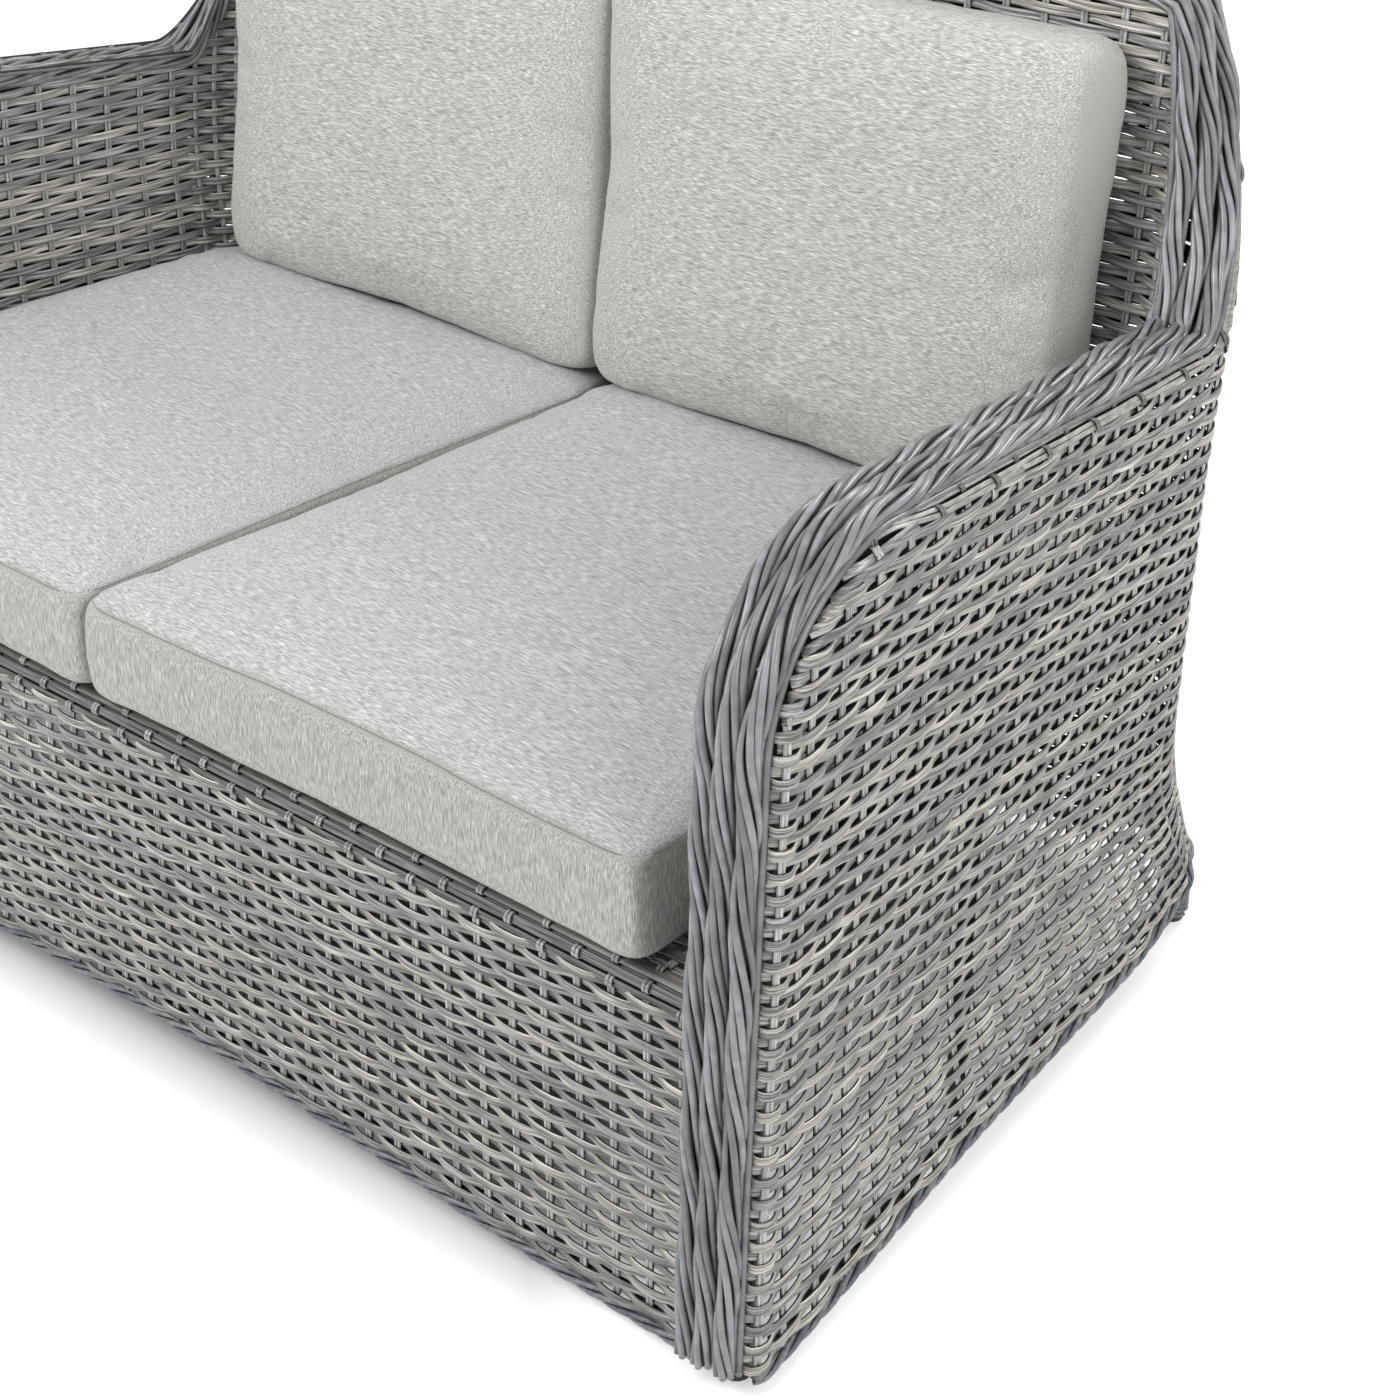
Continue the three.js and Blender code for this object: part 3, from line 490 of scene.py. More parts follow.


# Three copies of one canvas. Their slub runs along each face, and their tones are painted light and shade:
# the walls darker and warmer as painted shade, the back cushions a little lighter for the dim light on
# their upright fronts and warmer as painted shade.
CANVAS = [
    fabric_material("canvas_top", stretch=(110, 1300, 1300), middle=181, warmth=0),
    fabric_material("canvas_wall", stretch=(1300, 1300, 110), middle=167, warmth=3),
    fabric_material("canvas_back", stretch=(120, 1300, 1300), middle=185, warmth=3.5),
]
TOP_CLOTH, WALL_CLOTH, BACK_CLOTH = range(len(CANVAS))
THREAD = plain_material("thread", (128, 127, 124), 0.9, 0.0, 1500, 0.3)
COATED_TUBE = plain_material("coated_tube", (62, 63, 64), 0.5, 0.6, 900, 0.15)
GLIDE = plain_material("glide_plastic", (42, 43, 44), 0.55, 0.0, 600, 0.2)

for name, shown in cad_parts.items():
    looks = GLIDE if "glide" in name else COATED_TUBE
    shown.data.materials.clear()
    shown.data.materials.append(looks)

# Weaving

STAKE_HEADROOM, STAKE_REACH = 14, 7
STAKE_STEP, INNER_STAKE_STEP = 8, 12
EDGE_FADE_HEIGHT = 220
CORNER_MIDDLE, RIM_REACH, INNER_FRONT_MARGIN = 1.5, 4, 8
FRONT_ROWS, RAIL_TUCK = 34, 3
DECK_MARGIN, DECK_FIRST_ROW, DECK_BACK_MARGIN = 2, 6, 4
PHASES = np.array([0, 0.22, 0.38, 0.5, 0.62, 0.78])
SHARPNESS = 1.5
ROW_WANDER, DEPTH_WANDER, PAIR_SPREAD = 0.3, 0.25, 0.05


def swing(stakes, row):
    """Share of the swing at a place counted in stakes; 1 is in front of a stake and -1 behind it."""
    wave = np.cos(math.pi * (stakes + row))
    return np.tanh(SHARPNESS * wave) / math.tanh(SHARPNESS)


def row_samples(first, last):
    whole = np.arange(math.floor(first), math.ceil(last))
    samples = (whole[:, None] + PHASES[None, :]).ravel()
    return np.concatenate([[first], samples[(samples > first) & (samples < last)], [last]])


def runs_of(inside):
    """Index ranges where a row lies on the surface."""
    splits = np.flatnonzero(np.diff(inside.astype(int))) + 1
    for run in np.split(np.arange(len(inside)), splits):
        if len(run) > 2 and inside[run[0]]:
            yield run


def weave_rows(strands, surface, places, rows, height, inside, depth, pair, extend, width):
    """Lays rows over and under the stakes; the height gives each row's level at a place."""
    count = len(places)
    samples = row_samples(-extend, count - 1 + extend)
    spread = [2 * places[0] - places[1], *places, 2 * places[-1] - places[-2]]
    u = np.interp(samples, np.arange(-1, count + 1), spread)
    knots = np.arange(-2, count + 2)
    outline = strip(RIDGED, width, STRAND_THICKNESS)
    if not pair:
        outline = strip(DOUBLE, 2 * width, STRAND_THICKNESS)
    for row in range(rows):
        level = height(u, row)
        wander = np.interp(samples, knots, rng.normal(0, ROW_WANDER, len(knots)))
        reach = np.interp(samples, knots, rng.normal(0, DEPTH_WANDER, len(knots)))
        side = swing(samples, row)
        for run in runs_of(inside(u, level)):
            for lift in (-0.5, 0.5) if pair else (0,):
                spacing = lift * width * (1 + PAIR_SPREAD * side[run])
                points, normals = surface(u[run], level[run] + wander[run] + spacing)
                away = WEAVE_SWING * side[run] + reach[run] - depth
                tone = rng.integers(len(ROW_LEVELS))
                strands.tube(points + normals * away[:, None], normals, outline, tone)


def stand_stakes(strands, surface, places, levels, stands, depth):
    """Stands a pair of strands at every place, where the surface carries them."""
    outline = strip(PLAIN, STAKE_WIDTH, STRAND_THICKNESS + 0.5)
    for place in places:
        for shift in (-STAKE_WIDTH / 2, STAKE_WIDTH / 2):
            u = np.full(len(levels), place + shift)
            for run in runs_of(stands(u, levels)):
                points, normals = surface(u[run], levels[run])
                tone = rng.integers(len(STAKE_LEVELS_WITH_PAINTED_HIGHLIGHT))
                strands.tube(points - normals * depth, normals, outline, tone)


def rows_and_stakes(
    name, replaced, surface, places, rows, height, inside, levels, depth,
    stands=None, pair=True, extend=0.6, width=STRAND_WIDTH,
):
    """Weaves one panel; a depth is the distance of the middle of the weave under the surface."""
    woven, stakes = Strands(), Strands()
    weave_rows(woven, surface, places, rows, height, inside, depth, pair, extend, width)
    stand_stakes(stakes, surface, places, levels, stands or inside, depth)
    woven.build(f"{name}_weave", ROW_STRANDS, "rattan_strand", replaced)
    stakes.build(f"{name}_stakes", UPRIGHT_STRANDS, "rattan_strand", [])


def stake_places():
    """Places of the stakes round the outside, closer together at the front edges."""
    last = 2 * HALF_RUN - SECOND_STAKE
    count = int(round((last - SECOND_STAKE) / STAKE_SPACING)) + 1
    between = np.linspace(SECOND_STAKE, last, count)
    return np.array([FIRST_STAKE, *between, 2 * HALF_RUN - FIRST_STAKE])


def outer_weave():
    def edge(q):
        return side_edge(np.minimum(station_at(q), 3))

    def height(q, row):
        level = SIDE_EDGE_REAR + (row + 0.5) * ROW_PITCH
        share = max(0, 1 - (level - SIDE_EDGE_REAR) / EDGE_FADE_HEIGHT)
        return level + (edge(q) - SIDE_EDGE_REAR) * share

    def inside(q, z):
        s = from_front(q)
        limit = np.where(z < ARM_HEIGHT - ARCH_HEIGHT, -TUCK, -ARCH_TUCK)
        limit = np.where(s < CORD_START, limit, cord_gap(s, CORD_GAPS[1]) + STRAND_WIDTH)
        return (rim_gap(s, z) > limit) & (z > edge(q))

    def stands(q, z):
        clear_of_arch = inside(q, z) & inside(q, z + STAKE_HEADROOM)
        under_cord = inside(q, z) | inside(q, z - STAKE_REACH)
        return np.where(from_front(q) < CORD_START, clear_of_arch, under_cord)

    def surface(q, z):
        return on_surface(outer_point, q, z)

    rows = int((BACK_HEIGHT + BACK_CROWN - SIDE_EDGE_REAR) / ROW_PITCH)
    levels = np.arange(SIDE_EDGE_FRONT, BACK_HEIGHT + BACK_CROWN, STAKE_STEP, float)
    replaced = ["side_panel_right", "side_panel_left", "back_outer_panel"]
    rows_and_stakes(
        "outer", replaced, surface, stake_places(), rows, height, inside, levels,
        depth=3, stands=stands, extend=0.93,
    )


def inner_weave():
    foot = deck_top(BACK_REST_Y)

    def inside(q, z):
        station = station_at(q)
        beside_deck = deck_top(skin(station, SEAT_HEIGHT)[..., 1])
        low = np.where(station > CORNER_MIDDLE, foot - SHEET, beside_deck)
        below_rim = z < rim_height(station) + RIM_REACH
        return below_rim & (z > low) & (from_front(q) > INNER_FRONT_MARGIN)

    def stands(q, z):
        return inside(q, z) & inside(q, z + STAKE_HEADROOM)

    def height(q, row):
        return foot + (row + 0.5) * ROW_PITCH + 0 * q

    def surface(q, z):
        return on_surface(inner_point, q, z, -1)

    rows = int((BACK_HEIGHT + BACK_CROWN - foot) / ROW_PITCH)
    levels = np.arange(foot - SHEET, BACK_HEIGHT + BACK_CROWN, INNER_STAKE_STEP)
    replaced = ["arm_inner_panel_right", "arm_inner_panel_left", "back_inner_panel"]
    rows_and_stakes(
        "inner", replaced, surface, stake_places(), rows, height, inside, levels,
        depth=2.5, stands=stands, pair=False,
    )


def centred(half, spacing):
    count = int(half / spacing)
    return np.arange(-count, count + 1) * spacing


def front_point(x, z):
    x, z = matched(x, z)
    return np.stack([x, np.full_like(x, FRONT_PANEL_Y), z], -1)


def front_weave():
    top = RAIL_Z - RAIL_TUCK

    def height(x, row):
        return lerp(front_edge(x), top, (row + 0.5) / FRONT_ROWS)

    def inside(x, z):
        return (z > front_edge(x)) & (z < top)

    def surface(x, z):
        return on_surface(front_point, x, z)

    places = centred(FRONT_SPAN + SIDE_OVERLAP, FRONT_STAKE_SPACING)
    levels = np.linspace(FRONT_EDGE, top - 0.5, 36)
    rows_and_stakes(
        "front", ["front_panel"], surface, places, FRONT_ROWS, height, inside, levels,
        depth=2.5, extend=0.7, width=3.8,
    )


def deck_point(x, y):
    x, y = matched(x, y)
    return np.stack([x, y, deck_top(y)], -1)


def deck_weave():
    def height(x, row):
        return RAIL_Y + DECK_FIRST_ROW + row * ROW_PITCH + 0 * x

    def inside(x, y):
        edge = lerp(DECK_HALF_FRONT, DECK_HALF_REAR, (y - RAIL_Y) / (BACK_REST_Y - RAIL_Y))
        return (y > RAIL_Y) & (y < BACK_REST_Y - DECK_BACK_MARGIN) & (np.abs(x) < edge)

    def surface(x, y):
        return on_surface(deck_point, x, y)

    rows = int((BACK_REST_Y - RAIL_Y - DECK_FIRST_ROW - DECK_BACK_MARGIN) / ROW_PITCH)
    levels = np.linspace(RAIL_Y + DECK_MARGIN, BACK_REST_Y - DECK_BACK_MARGIN - 1, 24)
    places = centred(DECK_HALF_FRONT, STAKE_SPACING)
    rows_and_stakes(
        "deck", ["seat_deck"], surface, places, rows, height, inside, levels, depth=3.5, pair=False
    )


# Front rail

TIE_STEPS = 9
TIE_TURNS = np.linspace(0, math.pi, TIE_STEPS)
TIE_GAP, TIE_THICKNESS = 0.5, 2.4
WRAP_DEPTH, RAIL_WANDER = 2.6, 0.012
RAIL_RADIUS = RAIL_DIAMETER / 2 + GAP + WRAP_DEPTH
RAIL_TIE_WIDTH, RAIL_TIE_REACH = 3.6, 2.5
RAIL_TIE_FOOT, RAIL_TIE_RISE, RAIL_TIE_POWER = 2.2, 5.4, 0.35
SINK_DEPTH, SINK_ANGLE, SINK_SPREAD = 3.6, math.radians(125), 0.4


def rail_point(x, angle, radius):
    x, angle, radius = matched(x, angle, radius)
    return np.stack([x, RAIL_Y + radius * np.cos(angle), RAIL_Z + radius * np.sin(angle)], -1)


def tie(strands, path, normals, width, tone):
    """Two thin strands side by side over a bundle."""
    tangent = path[-1] - path[0]
    side = np.cross(tangent / np.linalg.norm(tangent), normals[len(normals) // 2])
    for shift in (-width / 2, width / 2):
        strands.tube(path + side * shift, normals, strip(PLAIN, width - TIE_GAP, TIE_THICKNESS), tone)


def sunk_radius(turn):
    """Radius of the wrap, which sinks where the seat cushions lie on it."""
    return RAIL_RADIUS - SINK_DEPTH * ease((SINK_ANGLE - turn) / SINK_SPREAD)


def rail_wrap():
    """Lines of paired strands along the front rail, each tied at every second stake."""
    strands = Strands()
    half = FRONT_SPAN + SIDE_OVERLAP
    x = np.arange(-half, half, 5.0)
    half_step = RAIL_STRAND / 2 / RAIL_RADIUS
    knots = np.linspace(-half, half, 50)
    for angle in RAIL_ANGLES:
        for shift in (-half_step, half_step):
            wander = np.interp(x, knots, rng.normal(0, RAIL_WANDER, len(knots)))
            turn = angle + shift + wander
            points = rail_point(x, turn, sunk_radius(turn))
            normals = rail_point(x, turn, sunk_radius(turn) + 1) - points
            tone = rng.integers(len(RAIL_LEVELS_IN_PAINTED_SHADOW))
            strands.tube(points, normals, strip(RIDGED, RAIL_STRAND, STRAND_THICKNESS), tone)
    for stake, place in enumerate(centred(half, FRONT_STAKE_SPACING)):
        for line in range(stake % 2, len(RAIL_ANGLES), 2):
            across = np.linspace(RAIL_TIE_REACH, -RAIL_TIE_REACH, TIE_STEPS) * half_step
            turn = RAIL_ANGLES[line] + across
            lift = RAIL_TIE_RISE * np.sin(TIE_TURNS) ** RAIL_TIE_POWER
            height = sunk_radius(turn) - RAIL_TIE_FOOT + lift
            points = rail_point(place, turn, height)
            normals = rail_point(place, turn, height + 1) - points
            tone = len(RAIL_LEVELS_IN_PAINTED_SHADOW) + rng.integers(len(RAIL_TIE_LEVELS))
            tie(strands, points, normals, RAIL_TIE_WIDTH, tone)
    strands.build("rail_wrap", RAIL_STRANDS, "rattan_strand", ["rail_cap"])


# Rim

PLIES = 6
PLY_DIAMETER, PLY_RADIUS, PLY_FLATNESS = 5.6, 6.7, 0.95
CORE_DIAMETER = 9
ROPE_OFFSETS = [(-18.6, 6.4), (0, 8.6), (18.6, 7.4)]
WELT_OFFSETS = [(-27.5, 0.5), (-23, 1.5), (27, 0.5)]
ROPE_SWAY, ROPE_TURN = 1.6, 0.9
LEG_PITCH, ARM_PITCH = 250, 190
PITCH_CHANGE_START, PITCH_CHANGE_LENGTH = 350, 300
MIDDLE_BLEND, KNOT_SPACING = 30, 90
TWIST_WANDER, PLY_SPREAD = 0.12, (0.86, 1.06)
CORD_HIDDEN_DEPTH, CORD_DEPTH, CORD_WANDER, FIRST_TIE = 14, 0.6, 0.35, 20
CORD_TIE_WIDTH, CORD_TIE_REACH = 3.0, 1.35
CORD_TIE_FOOT, CORD_TIE_RISE, CORD_TIE_POWER = 2.4, 4.6, 0.4


def rim_places():
    """Stations and heights along the rim, from the right front foot to the middle of the back."""
    low = np.linspace(BRAID_FOOT, ARM_HEIGHT - ARCH_HEIGHT, 60)
    arch = ARM_START * (1 - np.cos(np.linspace(0, math.pi / 2, 40)[1:]))
    arm = np.linspace(ARM_START, SWEEP_START, 60)[1:]
    climb = np.linspace(SWEEP_START, SWEEP_END, 60)[1:]
    top = np.linspace(SWEEP_END, 3, 60)[1:]
    over = np.concatenate([arch, arm, climb, top])
    return np.concatenate([np.zeros(len(low)), over]), np.concatenate([low, rim_height(over)])


def resample(points, *others, step=4.0):
    """Points at even steps along a path, with its other columns, and their lengths along it."""
    length = np.concatenate([[0], np.cumsum(np.linalg.norm(np.diff(points, axis=0), axis=1))])
    along = np.linspace(0, length[-1], int(length[-1] / step) + 1)

    def at_steps(array):
        return np.stack([np.interp(along, length, column) for column in array.T], -1)

    return along, [at_steps(array) for array in (points, *others)]


def rim_path():
    """Middle line of the plait all round, with the directions out of the rim and inwards across it."""
    station, z = rim_places()
    centre = within(station, z, (wall(station, z) + SHOULDER_WIDTH) / 2)
    side = inward(station)
    mirror = np.array([-1, 1, 1])
    centre = np.concatenate([centre, centre[:-1][::-1] * mirror])
    side = np.concatenate([side, side[:-1][::-1] * mirror])
    along, (centre, side) = resample(centre, side, step=5.0)
    out = unit(np.cross(unit(np.gradient(centre, axis=0)), side))
    out[along > along[-1] / 2] *= -1
    out *= np.sign(out[len(out) // 4] @ [0, 0, 1])
    return along, centre, out, side


def plaited_rim():
    """Three ropes side by side, whose strands lean inwards up the leg and back over the arm."""
    along, centre, out, side = rim_path()
    strands = Strands()
    half = along[-1] / 2
    travel = half - np.sqrt((along - half) ** 2 + MIDDLE_BLEND**2)
    pitch = lerp(LEG_PITCH, ARM_PITCH, ease((travel - PITCH_CHANGE_START) / PITCH_CHANGE_LENGTH))
    turned = np.concatenate([[0], np.cumsum(np.diff(travel) / pitch[1:])])
    knots = np.arange(0, along[-1] + KNOT_SPACING, KNOT_SPACING, float)
    ply_section = round_section(PLY_DIAMETER, PLY_DIAMETER)
    for number, (shift, lift) in enumerate(ROPE_OFFSETS):
        sway = ROPE_SWAY * np.sin(2 * math.pi * (turned * 2 + number / len(ROPE_OFFSETS)))
        core = centre + side * (shift + sway)[:, None] + out * lift
        # A dark core in the painted-shade material fills the middle of each rope, where there is only
        # shade
        strands.tube(core, out, round_section(CORE_DIAMETER, CORE_DIAMETER), PAINTED_SHADE)
        for ply in range(PLIES):
            wander = np.interp(along, knots, rng.normal(0, TWIST_WANDER, len(knots)))
            radius = PLY_RADIUS * np.interp(along, knots, rng.uniform(*PLY_SPREAD, len(knots)))
            turn = -2 * math.pi * (turned - ply / PLIES) + ROPE_TURN * number + wander
            across = side * np.cos(turn)[:, None]
            radial = across + out * (PLY_FLATNESS * np.sin(turn))[:, None]
            tone = rng.integers(len(BRAID_LEVELS))
            strands.tube(core + radial * radius[:, None], radial, ply_section, tone)
    for shift, lift in WELT_OFFSETS:
        welt = centre + side * shift + out * lift
        strands.tube(welt, out, ply_section, rng.integers(len(BRAID_LEVELS)))
    replaced = ["arm_braid_right", "arm_braid_left", "back_braid"]
    strands.build("plaited_rim", BRAID, "rattan_braid", replaced)


def cord_gap(s, gap):
    """Distance of a cord from the rim's edge; it comes out from under the plait after the arch."""
    return gap - CORD_HIDDEN_DEPTH * ease((CORD_CLEAR - s) / (CORD_CLEAR - CORD_START))


def rim_cords():
    """Two lines of paired strands under the plait, each tied at every second stake."""
    strands = Strands()
    q = np.arange(CORD_START, 2 * HALF_RUN - CORD_START + 1, 5.0)
    top = rim_height(station_at(q))
    drop = np.sqrt(1 + np.gradient(top, q) ** 2)
    knots = np.linspace(q[0], q[-1], 80)
    outline = strip(RIDGED, STRAND_WIDTH - 0.4, STRAND_THICKNESS)
    for gap in CORD_GAPS:
        for lift in (-STRAND_WIDTH / 2, STRAND_WIDTH / 2):
            wander = np.interp(q, knots, rng.normal(0, CORD_WANDER, len(knots)))
            below = cord_gap(from_front(q), gap) + lift + wander
            points, normals = on_surface(outer_point, q, top - below * drop)
            strands.tube(points - normals * CORD_DEPTH, normals, outline, rng.integers(len(CORD_LEVELS)))
    for stake, place in enumerate(stake_places()):
        if from_front(place) < CORD_START + FIRST_TIE:
            continue
        across = np.linspace(-CORD_TIE_REACH, CORD_TIE_REACH, TIE_STEPS) * STRAND_WIDTH
        below = cord_gap(from_front(place), CORD_GAPS[stake % 2]) + across
        z = np.interp(place, q, top) - below * np.interp(place, q, drop)
        points, normals = on_surface(outer_point, np.full(TIE_STEPS, place), z)
        height = CORD_TIE_RISE * np.sin(TIE_TURNS) ** CORD_TIE_POWER - CORD_TIE_FOOT
        tone = len(CORD_LEVELS) + rng.integers(len(CORD_TIE_LEVELS))
        tie(strands, points + normals * height[:, None], normals, CORD_TIE_WIDTH, tone)
    strands.build("rim_cords", CORD_STRANDS, "rattan_strand", [])


# Lower edges

ROPE_PLIES, ROPE_RADIUS, ROPE_PLY_DIAMETER, ROPE_PITCH = 3, 2.9, 5.2, 84
ROPE_DROP, ROPE_DEPTH = 3, 1.5
WINDING_PITCH, WINDING_INSET, WINDING_END, WINDING_MARGIN = 4.7, 2.1, 2.2, 4
WINDING_WIDTH, WINDING_HEIGHT = 4.2, 4.6
STEPS_PER_TURN = 28


def twisted_rope(strands, surface, u, v):
    """A rope of twisted strands along a line of a surface."""
    points, normals = on_surface(surface, u, v - ROPE_DROP)
    along, (path, normals) = resample(points - normals * ROPE_DEPTH, normals)
    tangent = unit(np.gradient(path, axis=0))
    side = unit(np.cross(tangent, normals))
    up = np.cross(side, tangent)
    section = round_section(ROPE_PLY_DIAMETER, ROPE_PLY_DIAMETER * 0.9)
    for ply in range(ROPE_PLIES):
        turn = 2 * math.pi * (along / ROPE_PITCH + ply / ROPE_PLIES)
        radial = side * np.cos(turn)[:, None] + up * np.sin(turn)[:, None]
        strands.tube(path + radial * ROPE_RADIUS, radial, section, rng.integers(len(ROPE_LEVELS)))


def edge_ropes():
    strands = Strands()
    q = np.arange(2.0, 2 * HALF_RUN - 1, 6.0)
    twisted_rope(strands, outer_point, q, side_edge(np.minimum(station_at(q), 3)))
    x = np.linspace(-FRONT_SPAN, FRONT_SPAN, 240)
    twisted_rope(strands, front_point, x, front_edge(x))
    replaced = ["side_rope_right", "side_rope_left", "front_rope", "back_rope"]
    strands.build("edge_ropes", ROPE, "rattan_braid", replaced)


def foot_windings():
    strands = Strands()
    for hand in ("right", "left"):
        low, high = (np.array(v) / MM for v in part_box(f"foot_winding_{hand}"))
        x, y = (low[:2] + high[:2]) / 2
        radius = (high[0] - low[0]) / 2 - WINDING_INSET
        turns = (high[2] - low[2] - WINDING_MARGIN) / WINDING_PITCH
        angle = np.linspace(0, 2 * math.pi * turns, int(turns * STEPS_PER_TURN))
        radial = np.stack([np.cos(angle), -np.sin(angle), 0 * angle], -1)
        centres = radial * radius + np.array([x, y, 0])
        centres[:, 2] = low[2] + WINDING_END + WINDING_PITCH * angle / (2 * math.pi)
        strands.tube(centres, radial, round_section(WINDING_WIDTH, WINDING_HEIGHT), 1)
    replaced = ["foot_winding_right", "foot_winding_left"]
    strands.build("foot_windings_fine", ROPE, "rattan_strand", replaced)


# Cushions, in metres

SEAM_HEIGHT = 421.5
FRONT_SWELL, SEAT_CLEARANCE = 7 * MM, 2.4 * MM
SEAT_EDGE_ZONES = (60 * MM, 50 * MM, 0)
BACK_EDGE_ZONES = (50 * MM, 0, 50 * MM)
VOXEL, QUICK_VOXEL = 6 * MM, 9 * MM
PRESSURE, LAST_FRAME, CLOTH_CAP = 4, 20, 8 * MM
SEAM_DEPTH, SEAM_WIDTH, SEAM_BAND = 1.7 * MM, 2.6 * MM, 3.5 * MM
PUCKER_DEPTH, PUCKER_LENGTH, PUCKER_WIDTH, PUCKER_REACH = 0.6 * MM, 7 * MM, 6 * MM, 14 * MM
SWELL_LENGTH = 90 * MM
SEAM_POINTS, SEAM_SMOOTHINGS = 420, 8
STITCH_DIAMETER, STITCH_INSET, STITCH_SIDES = 0.8, 1.3, 6


def apply_modifiers(obj):
    graph = bpy.context.evaluated_depsgraph_get()
    mesh = bpy.data.meshes.new_from_object(obj.evaluated_get(graph))
    obj.modifiers.clear()
    obj.data = mesh


def places_of(mesh, kind="co"):
    values = np.empty(len(mesh.vertices) * 3, np.float32)
    if kind == "co":
        mesh.vertices.foreach_get("co", values)
    else:
        mesh.vertex_normals.foreach_get("vector", values)
    return values.reshape(-1, 3).astype(float)


def place_vertices(mesh, places):
    mesh.vertices.foreach_set("co", places.astype(np.float32).ravel())
    mesh.update()


def inflate(obj):
    """Blows the cloth up a little; no point moves further than the cap."""
    rest = places_of(obj.data)
    cloth = obj.modifiers.new("cloth", "CLOTH")
    cloth.settings.use_pressure = True
    cloth.settings.uniform_pressure_force = PRESSURE
    cloth.settings.effector_weights.gravity = 0
    cloth.point_cache.frame_start = 1
    cloth.point_cache.frame_end = LAST_FRAME
    for step in range(1, LAST_FRAME + 1):
        scene.frame_set(step)
    apply_modifiers(obj)
    scene.frame_set(1)
    moved = places_of(obj.data) - rest
    length = np.linalg.norm(moved, axis=1, keepdims=True)
    moved *= np.minimum(1, CLOTH_CAP / np.maximum(length, TINY))
    place_vertices(obj.data, rest + moved)


def cushion_mesh(node_name, shrink):
    """A soft mesh made from a cushion's solid."""
    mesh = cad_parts[node_name].data.copy()
    obj = bpy.data.objects.new("soft_shape", mesh)
    scene.collection.objects.link(obj)
    centre = Vector(places_of(mesh).mean(0))
    about_centre = Matrix.Translation(centre) @ Matrix.Scale(shrink, 4) @ Matrix.Translation(-centre)
    mesh.transform(about_centre)
    remesh = obj.modifiers.new("remesh", "REMESH")
    remesh.mode = "VOXEL"
    remesh.voxel_size = VOXEL
    smooth = obj.modifiers.new("smooth", "SMOOTH")
    smooth.iterations = 3
    apply_modifiers(obj)
    inflate(obj)
    subdivide = obj.modifiers.new("subdivide", "SUBSURF")
    subdivide.levels = 1
    subdivide.render_levels = 1
    apply_modifiers(obj)
    mesh = obj.data
    bpy.data.objects.remove(obj)
    return mesh


def seam_loop(mesh, level):
    """The outermost points of the mesh at a level, as a closed loop in metres."""
    count = SEAM_POINTS
    places = places_of(mesh)
    centre = places.mean(0)
    near = places[np.abs(places[:, 2] - level(places[:, 1])) < SEAM_BAND]
    away = near - centre
    size = np.ptp(places, axis=0)[:2] / 2
    angle = np.arctan2(away[:, 1] / size[1], away[:, 0] / size[0])
    radius = np.hypot(away[:, 0], away[:, 1])
    bins = ((angle + math.pi) / (2 * math.pi) * count).astype(int) % count
    outermost = np.zeros(count)
    np.maximum.at(outermost, bins, radius)
    known = outermost > 0
    turns = (np.arange(count) + 0.5) / count * 2 * math.pi - math.pi
    outermost = np.interp(turns, turns[known], outermost[known], period=2 * math.pi)
    flat = np.arctan2(np.sin(turns) * size[1], np.cos(turns) * size[0])
    loop = centre[:2] + outermost[:, None] * np.stack([np.cos(flat), np.sin(flat)], -1)
    for _ in range(SEAM_SMOOTHINGS):
        loop = (np.roll(loop, 1, 0) + 2 * loop + np.roll(loop, -1, 0)) / 4
    return np.column_stack([loop, level(loop[:, 1])])


def draw_in(mesh, loop):
    """Draws the cloth in along a seam, with small puckers across it."""
    tree = KDTree(len(loop))
    for number, point in enumerate(loop):
        tree.insert(point, number)
    tree.balance()
    places, normals = places_of(mesh), places_of(mesh, "normals")
    for number, place in enumerate(places):
        distance = tree.find(place)[2]
        if distance < PUCKER_REACH:
            waves = field.noise(Vector(place) / PUCKER_LENGTH)
            pucker = PUCKER_DEPTH * waves * math.exp(-distance / PUCKER_WIDTH)
            channel = SEAM_DEPTH * math.exp(-((distance / SEAM_WIDTH) ** 2))
            places[number] -= normals[number] * (channel - pucker)
    place_vertices(mesh, places)


def fit_to_box(mesh, node_name, lean, zones, swell=0.0, clearance=0.0):
    """Stretches a cushion to its CAD box, in the cushion's own directions, and tightens its edges."""
    turn = np.array(Matrix.Rotation(lean, 3, "X"))
    model = places_of(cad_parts[node_name].data) @ turn.T
    places = places_of(mesh) @ turn.T
    low, high = model.min(0), model.max(0)
    low[1] -= swell
    low[2] += clearance
    for axis, zone in enumerate(zones):
        values = places[:, axis]
        share = (values - values.min()) / np.ptp(values)
        values = low[axis] + share * (high[axis] - low[axis])
        if zone:
            for toward, wall in ((-1, low[axis]), (1, high[axis])):
                depth = np.clip(1 - (wall - values) * toward / zone, 0, 1)
                values = values + toward * zone * (depth**2 - depth**3)
        places[:, axis] = values
    place_vertices(mesh, places @ turn)


def ruffle(mesh, amount):
    """Slow uneven swelling of the filling under the cloth."""
    places, normals = places_of(mesh), places_of(mesh, "normals")
    swell = np.array([field.noise(Vector(place) / SWELL_LENGTH) for place in places])
    place_vertices(mesh, places + normals * (swell * amount)[:, None])


